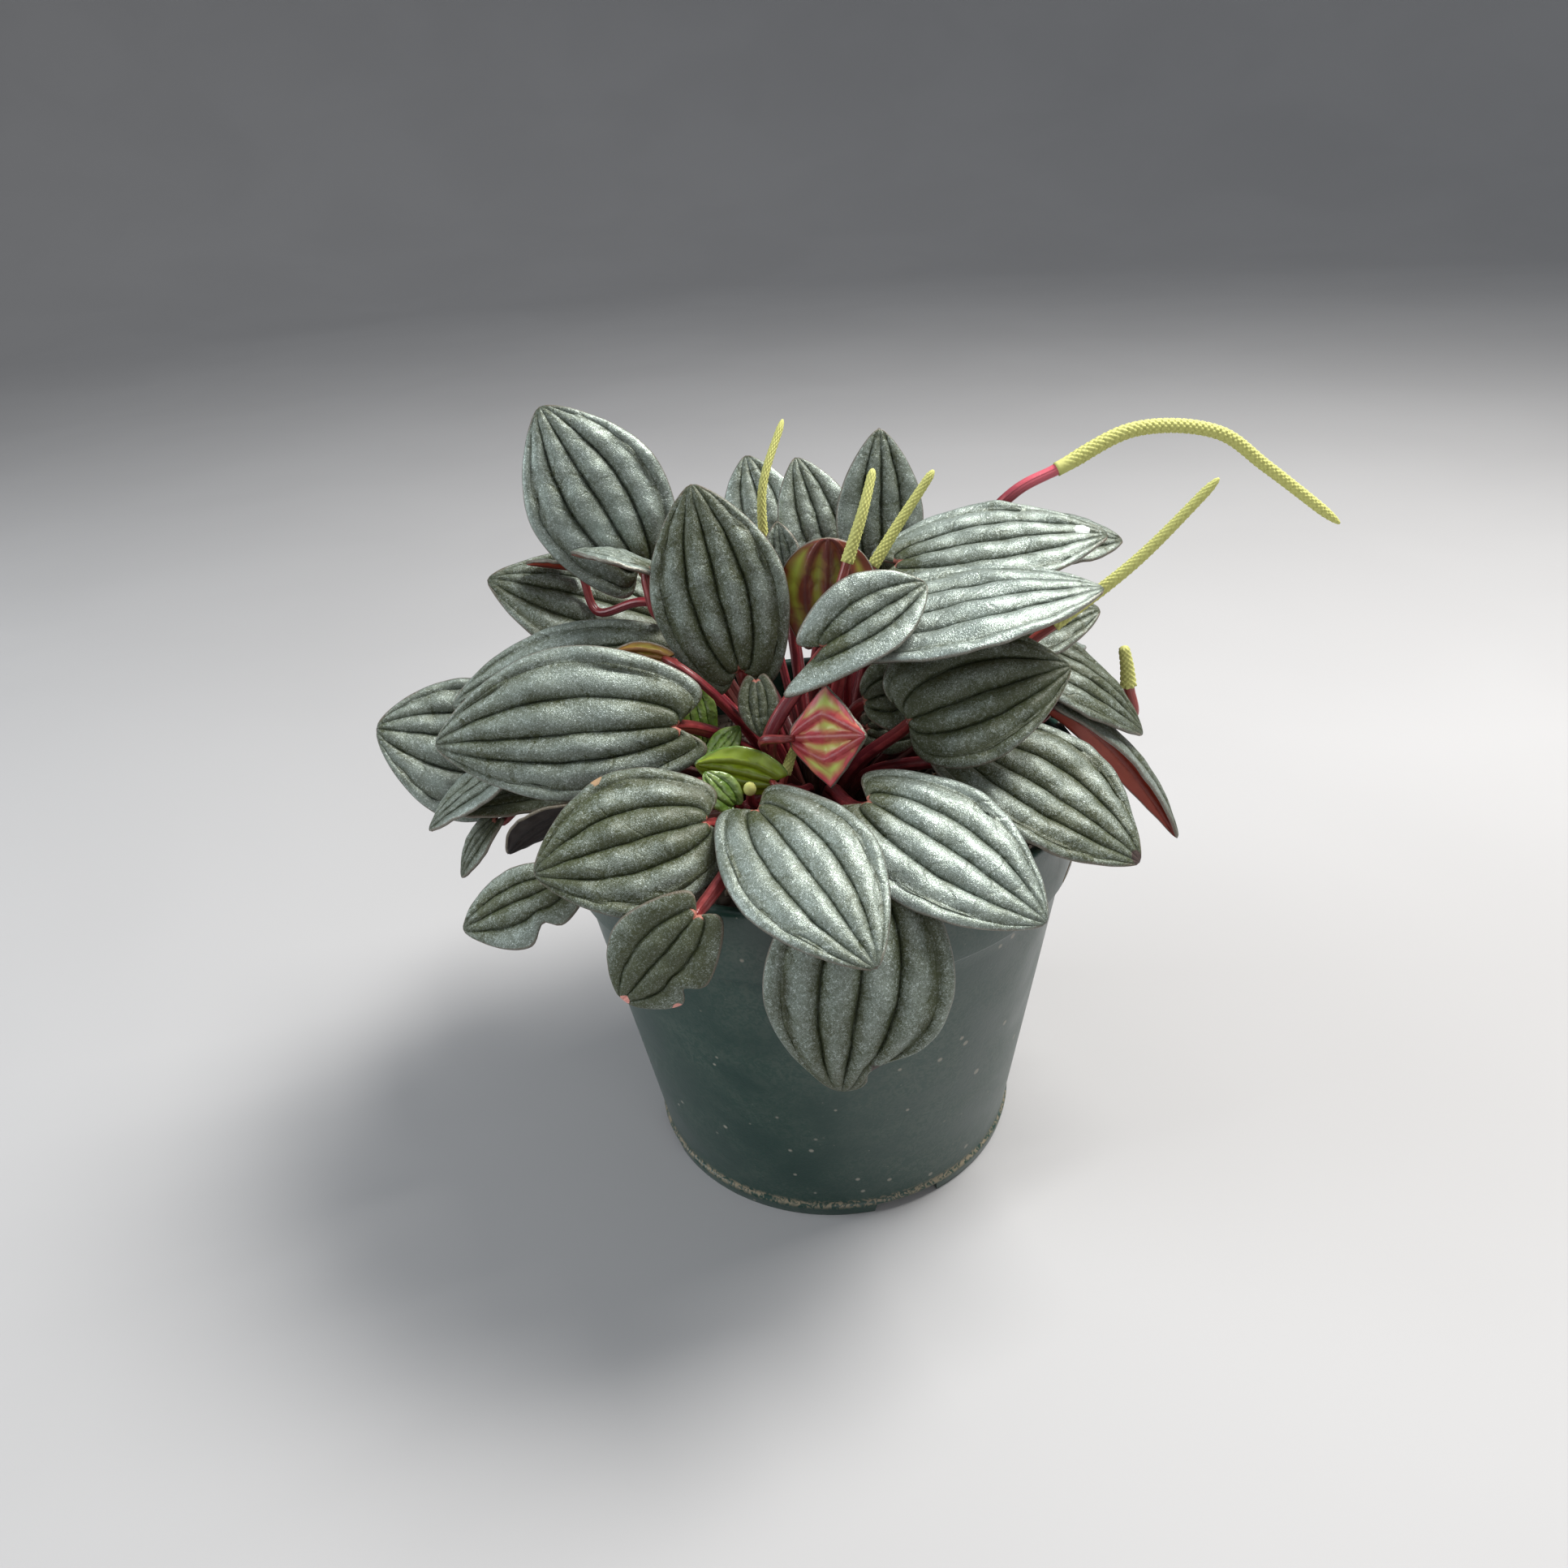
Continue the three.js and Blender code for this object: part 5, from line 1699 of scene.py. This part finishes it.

# Each leaf's silver share holds painted light and shade as well as its own silver: the leaves on top that
# face the light are given the most, those in shade at the front and middle the least
LEAVES = (
    Leaf("leaf_top_1", (-31, 9, 121.5), (-46, 15, 149.5), 26, (0.1, -1, 0.35), arch=14, cup=-14,
         tuck=0.4, tone=0.8),
    Leaf("leaf_top_2", (-13, -8, 107), (-19, 0, 138), 24, (0, -1, 0.3), arch=16, cup=-12, tuck=0.15,
         tone=0.38),
    Leaf("leaf_top_3", (2.5, -22, 116), (19.5, -16, 123.5), 15, (-0.15, -0.8, 0.6), arch=14, fold=14,
         lobes=(0.85, 0.35), via=(-8, -21, 99), tone=0.85),
    Leaf("leaf_top_4", (6.5, -16, 114.5), (49, -15, 120.5), 25, (0, -0.2, 0.98), cup=-12,
         lobes=(0.08, 0.08), tone=1),
    Leaf("leaf_top_5", (17, 8, 119), (55, 8, 122), 24, (0, -0.35, 0.95), cup=-12, tone=0.85,
         marks=(Mark(0.88, 0.15, 1.5, Wound.PALE),)),
    Leaf("leaf_top_6", (41, 16, 118), (60, 16, 118), 14, (0.1, -0.4, 0.95)),
    Leaf("leaf_top_7", (14, 19, 112), (15, 24, 140), 17, (0.2, -1, 0.2), arch=12, cup=-10, tuck=0.4,
         tone=0.62),
    Leaf("leaf_top_8", (5, 22, 114), (-1, 30, 134), 15, (0.2, -1, 0.3), arch=12, cup=-8, tuck=0.4,
         tone=0.7),
    Leaf("leaf_top_9", (-6, 28, 114), (-11, 38, 133), 16, (0, -1, 0.3), arch=12, cup=-8, tuck=0.4,
         tone=0.8),
    Leaf("leaf_top_10", (3, -6, 111), (4, -4, 128.5), 17, (0, 1, -0.1), arch=10, cup=14, belly=1,
         fullness=0.5, tuck=0.3, under=Under.MAROON),
    Leaf("leaf_left_1", (-29, 17, 106.5), (-60, 11, 119.5), 25, (-0.2, -0.5, 0.85), cup=-10,
         sides=(0.42, 0.58), tone=0.5),
    Leaf("leaf_left_2", (-28, -1, 123.5), (-41.5, 1, 127), 13, (0, 0.2, 1), via=(-23, 5, 111),
         tone=0.85),
    Leaf("leaf_left_3", (-27, -6, 109), (-65, -9, 103), 19, (-0.1, -0.75, 0.65), arch=30, cup=-12,
         tone=0.7),
    Leaf("leaf_left_4", (-24, -20, 102), (-65, -22, 102), 26.5, (-0.1, -0.9, 0.45), arch=22, cup=-14,
         sides=(0.57, 0.43)),
    Leaf("leaf_left_5", (-55, 1, 89), (-81, -6, 98), 27, (-0.3, -0.75, 0.55), arch=22, cup=-8,
         lobes=(0.2, 0.2), sides=(0.42, 0.58), fullness=0.65, tuck=0.2, via=(-44, 4, 90), tone=0.7),
    Leaf("leaf_left_6", (-53, -17, 94.5), (-70, -21, 84.5), 13, (-0.5, -0.2, 0.85), arch=24, tuck=0.3,
         via=(-40, -14, 95), tone=0.75, under=Under.AMBER),
    Leaf("leaf_left_7", (-41, -14, 88.5), (-67, -16, 85), 15, (0, -0.1, 1), arch=16, tuck=0.3, tone=0.15,
         under=Under.DUSK),
    Leaf("leaf_left_8", (-58.5, -19, 84.5), (-66.5, -20, 73.5), 7, (-0.6, -0.5, 0.6), arch=24, tuck=0.3,
         via=(-46, -21.5, 86), tone=0.5),
    Leaf("leaf_left_9", (-44, -36, 81.5), (-61, -40, 76), 14, (-0.2, -0.7, 0.7), arch=24, cup=-8,
         sides=(0.42, 0.58), tuck=0.2, via=(-39, -33.5, 88), tone=0.55,
         bites=(Bite(1, 0.32, 0.07, 0.35),)),
    Leaf("leaf_left_10", (-42, 12, 120), (-52.5, 12, 122), 8, (0, 0.4, 0.9), arch=10,
         via=(-28, 3.5, 115.5), under=Under.RUST),
    Leaf("leaf_left_11", (-43, -26, 89.5), (-55, -27, 82.5), 12, (-0.3, 0.6, 0.5), tuck=0.3, tone=0.15,
         under=Under.DUSK),
    Leaf("leaf_front_1", (-19, -36, 92), (-46, -44, 89), 25, (-0.1, -0.75, 0.7), arch=22, cup=-14,
         tone=0.35, marks=(Mark(0.52, -0.97, 1.1, Wound.TAN),)),
    Leaf("leaf_front_2", (-20, -52, 85), (-32.5, -56, 72.5), 17, (-0.1, -0.95, 0.3), arch=16, cup=-8,
         belly=0.95, fullness=0.6, tuck=0.25, tone=0.15, bites=(Bite(1, 0.55, 0.08, 0.3),),
         marks=(Mark(0.72, 1, 0.9, Wound.PINK), Mark(0.98, 0.1, 1.0, Wound.PINK))),
    Leaf("leaf_front_3", (-10, -36, 93.5), (7, -64, 82.5), 24, (0, -0.5, 0.87), arch=30, cup=-12,
         tone=0.75),
    Leaf("leaf_front_4", (8, -36, 94), (34, -53, 81), 24, (0.2, -0.6, 0.8), arch=26, cup=-12, tone=0.9),
    Leaf("leaf_front_5", (7, -49.2, 86), (1, -59, 54), 30, (0, -1, 0.1), arch=60, cup=-14,
         lobes=(0.22, 0.22), tuck=1, tone=0.45, bites=(Bite(1, 0.84, 0.09, 0.55),),
         marks=(Mark(0.8, 0.8, 1.3, Wound.DARK),)),
    Leaf("leaf_right_1", (16, -22, 101.5), (43.5, -18, 108), 26, (0, -0.7, 0.7), arch=22, cup=-10,
         lobes=(0.1, 0.18), sides=(0.44, 0.56), belly=0.66, tone=0.25),
    Leaf("leaf_right_2", (26, -19, 93.5), (53.5, -34, 78.5), 27, (0.28, -0.45, 0.85), arch=26, cup=-8,
         sides=(0.44, 0.56), tone=0.4, marks=(Mark(0.97, 0, 1.5, Wound.DARK),)),
    Leaf("leaf_right_3", (48, -2, 93), (71.6, 0, 61), 12.5, (0.64, 0.59, 0.48), arch=50, fold=-50,
         tuck=0.3, stalk=0.8, tone=0.5, under=Under.RUST),
    Leaf("leaf_right_4", (35, 6, 102), (63, 2, 84), 18, (0.3, -0.3, 0.9), arch=50, cup=-8,
         sides=(0.55, 0.45), tone=0.4),
    Leaf("leaf_right_5", (46, 6, 89.5), (59.5, 8, 85.5), 12, (0.1, 0.85, 0.5), tone=0.2,
         under=Under.DUSK),
    Leaf("leaf_right_6", (30, 0, 106), (53, 2, 110), 18, (0, -0.4, 0.9), cup=-8, tone=0.5),
    Leaf("leaf_middle_1", (9, -13, 101.5), (20, -11.5, 103), 13, (0.1, -0.8, 0.6), arch=14, cup=-8,
         lobes=(0.1, 0.1), tone=0.15),
    Leaf("leaf_middle_2", (9.5, -9, 94), (20, -8, 92.5), 9, (0.2, -0.9, 0.4), arch=14, cup=-8,
         tone=0.12),
    Leaf("leaf_middle_3", (-4, -26, 101.5), (8, -34, 105.5), 17, (0.3, 0.8, -0.4), arch=16, cup=10,
         lobes=(0.1, 0.1), fullness=1.2, kite=0.8, tuck=0.1, via=(-8, -17.5, 94), stalk=0.8,
         under=Under.PINK),
    Leaf("leaf_middle_4", (-10, -10, 105), (-9.5, -16, 97), 7, (0, -0.8, 0.6), arch=14, tone=0.3),
    Leaf("leaf_young_1", (-4, 10, 117), (-5, 12, 127), 7, (0, -1, 0.2), arch=10, cup=8, fold=12,
         tuck=0.2, tone=0.85),
    Leaf("leaf_young_2", (-7.5, -25, 93), (-20.5, -26.5, 98), 9, (0, 1, 0), arch=16, cup=14, tuck=0.2,
         top=Top.FRESH, under=Under.LIME),
    Leaf("leaf_young_3", (-18.5, -16.5, 93.5), (-13.5, -12.5, 97.5), 5, (0.2, -0.6, 0.7), arch=14, cup=8,
         tuck=0.2, top=Top.FRESH, under=Under.LIME),
    Leaf("leaf_young_4", (-21, -10, 93), (-22.5, -6.5, 105.5), 8, (0.6, -0.7, 0.2), arch=14, cup=8,
         tuck=0.2, top=Top.FRESH, under=Under.LIME),
    Leaf("leaf_young_5", (-14.5, -29.5, 91.5), (-19, -28, 97), 6, (0.2, -0.8, 0.6), arch=14,
         top=Top.FRESH, under=Under.LIME),
    Leaf("leaf_young_6", (-25.5, -9, 110), (-35, -10, 112), 5, (0, 1, -0.2), under=Under.AMBER),
    Leaf("leaf_back_1", (-34, 30, 98), (-64, 46, 86), 26, (-0.4, 0.4, 0.85), arch=26, cup=-10, tone=0.7),
    Leaf("leaf_back_2", (-14, 36, 97), (-24, 70, 84), 28, (-0.1, 0.5, 0.85), arch=26, cup=-10, tone=0.8),
    Leaf("leaf_back_3", (14, 34, 98), (20, 69, 86), 28, (0.1, 0.5, 0.85), arch=26, cup=-10),
    Leaf("leaf_back_4", (35, 28, 95), (60, 48, 82), 25, (0.4, 0.4, 0.85), arch=26, cup=-10, tone=0.75),
    Leaf("leaf_back_5", (-50, 16, 88), (-74, 26, 78), 20, (-0.4, 0.1, 0.9), arch=24, cup=-10),
    Leaf("leaf_back_6", (42, 24, 92), (62, 30, 80), 16, (0.4, 0.1, 0.9), arch=24, cup=-10),
    Leaf("leaf_back_7", (-22, 30, 112), (-46, 54, 109), 25, (-0.3, 0.4, 0.9), arch=24, cup=-10,
         tone=0.8),
    Leaf("leaf_back_8", (20, 30, 110), (42, 56, 104), 25, (0.3, 0.4, 0.9), arch=24, cup=-10, tone=0.75),
)

SPIKES = (
    Spike("spike_1", ((-8, 20, 118), (-7.5, 22, 131), (-3, 28, 142)), 0.9),
    Spike("spike_2", ((7, -9, 126), (10, -7, 134), (12, -4, 140)), 1, (1, -9.5, 110)),
    Spike("spike_3", ((12, 0, 122), (17, 2, 129), (23, 4, 137)), 1, dark_tip=True),
    Spike("spike_4", ((48.5, 22, 131), (63, 24, 137), (78.5, 24, 135.5), (88.5, 24, 128.5), (103.5, 22, 117)),
          1.35, (32, 21, 118), bare=0.02, foot=(0.72, 0.30, 0.24, 1), middle=(0.70, 0.60, 0.33, 1),
          end=(0.56, 0.60, 0.10, 1), stem=(0.72, 0.13, 0.18, 1)),
    Spike("spike_5", ((43, -8, 112), (56, -8, 122.5), (68.5, -8, 136)), 1.1, (33, -12, 103),
          foot=(0.66, 0.52, 0.20, 1), middle=(0.62, 0.62, 0.14, 1)),
    Spike("spike_6", ((62.8, 13, 89.5), (62.2, 13, 93.5), (61.2, 13, 97.8)), 1.4, (48, 17, 86),
          dark_tip=True),
    Spike("spike_7", ((-5.5, -20, 92), (-4.5, -19.5, 94.5), (-3, -19, 97.5)), 0.9),
)

BUDS = (
    Bud((-11.5, -30, 95.5), (0, -0.5, 0.85), (-8, -24, 86)),
    Bud((-28.5, 1, 112), (-0.4, -0.5, 0.75)),
)


def main() -> None:
    """Makes the studio and then the plant, from the pot up."""
    logging.basicConfig(level=logging.INFO, format="%(name)s: %(message)s")
    Studio().build()
    pot = Pot()
    pot.build()
    Soil(pot).build()
    Crown(LEAVES, SPIKES, BUDS).build()
    for leaf in LEAVES:
        leaf.build()
    for spike in SPIKES:
        spike.build()
    dressed = len(LEAVES) + len(SPIKES) + len(SINGLE_NODES)
    LOG.info("dressed %d of the %d nodes", dressed, len(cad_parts))


if __name__ == "__main__":
    main()
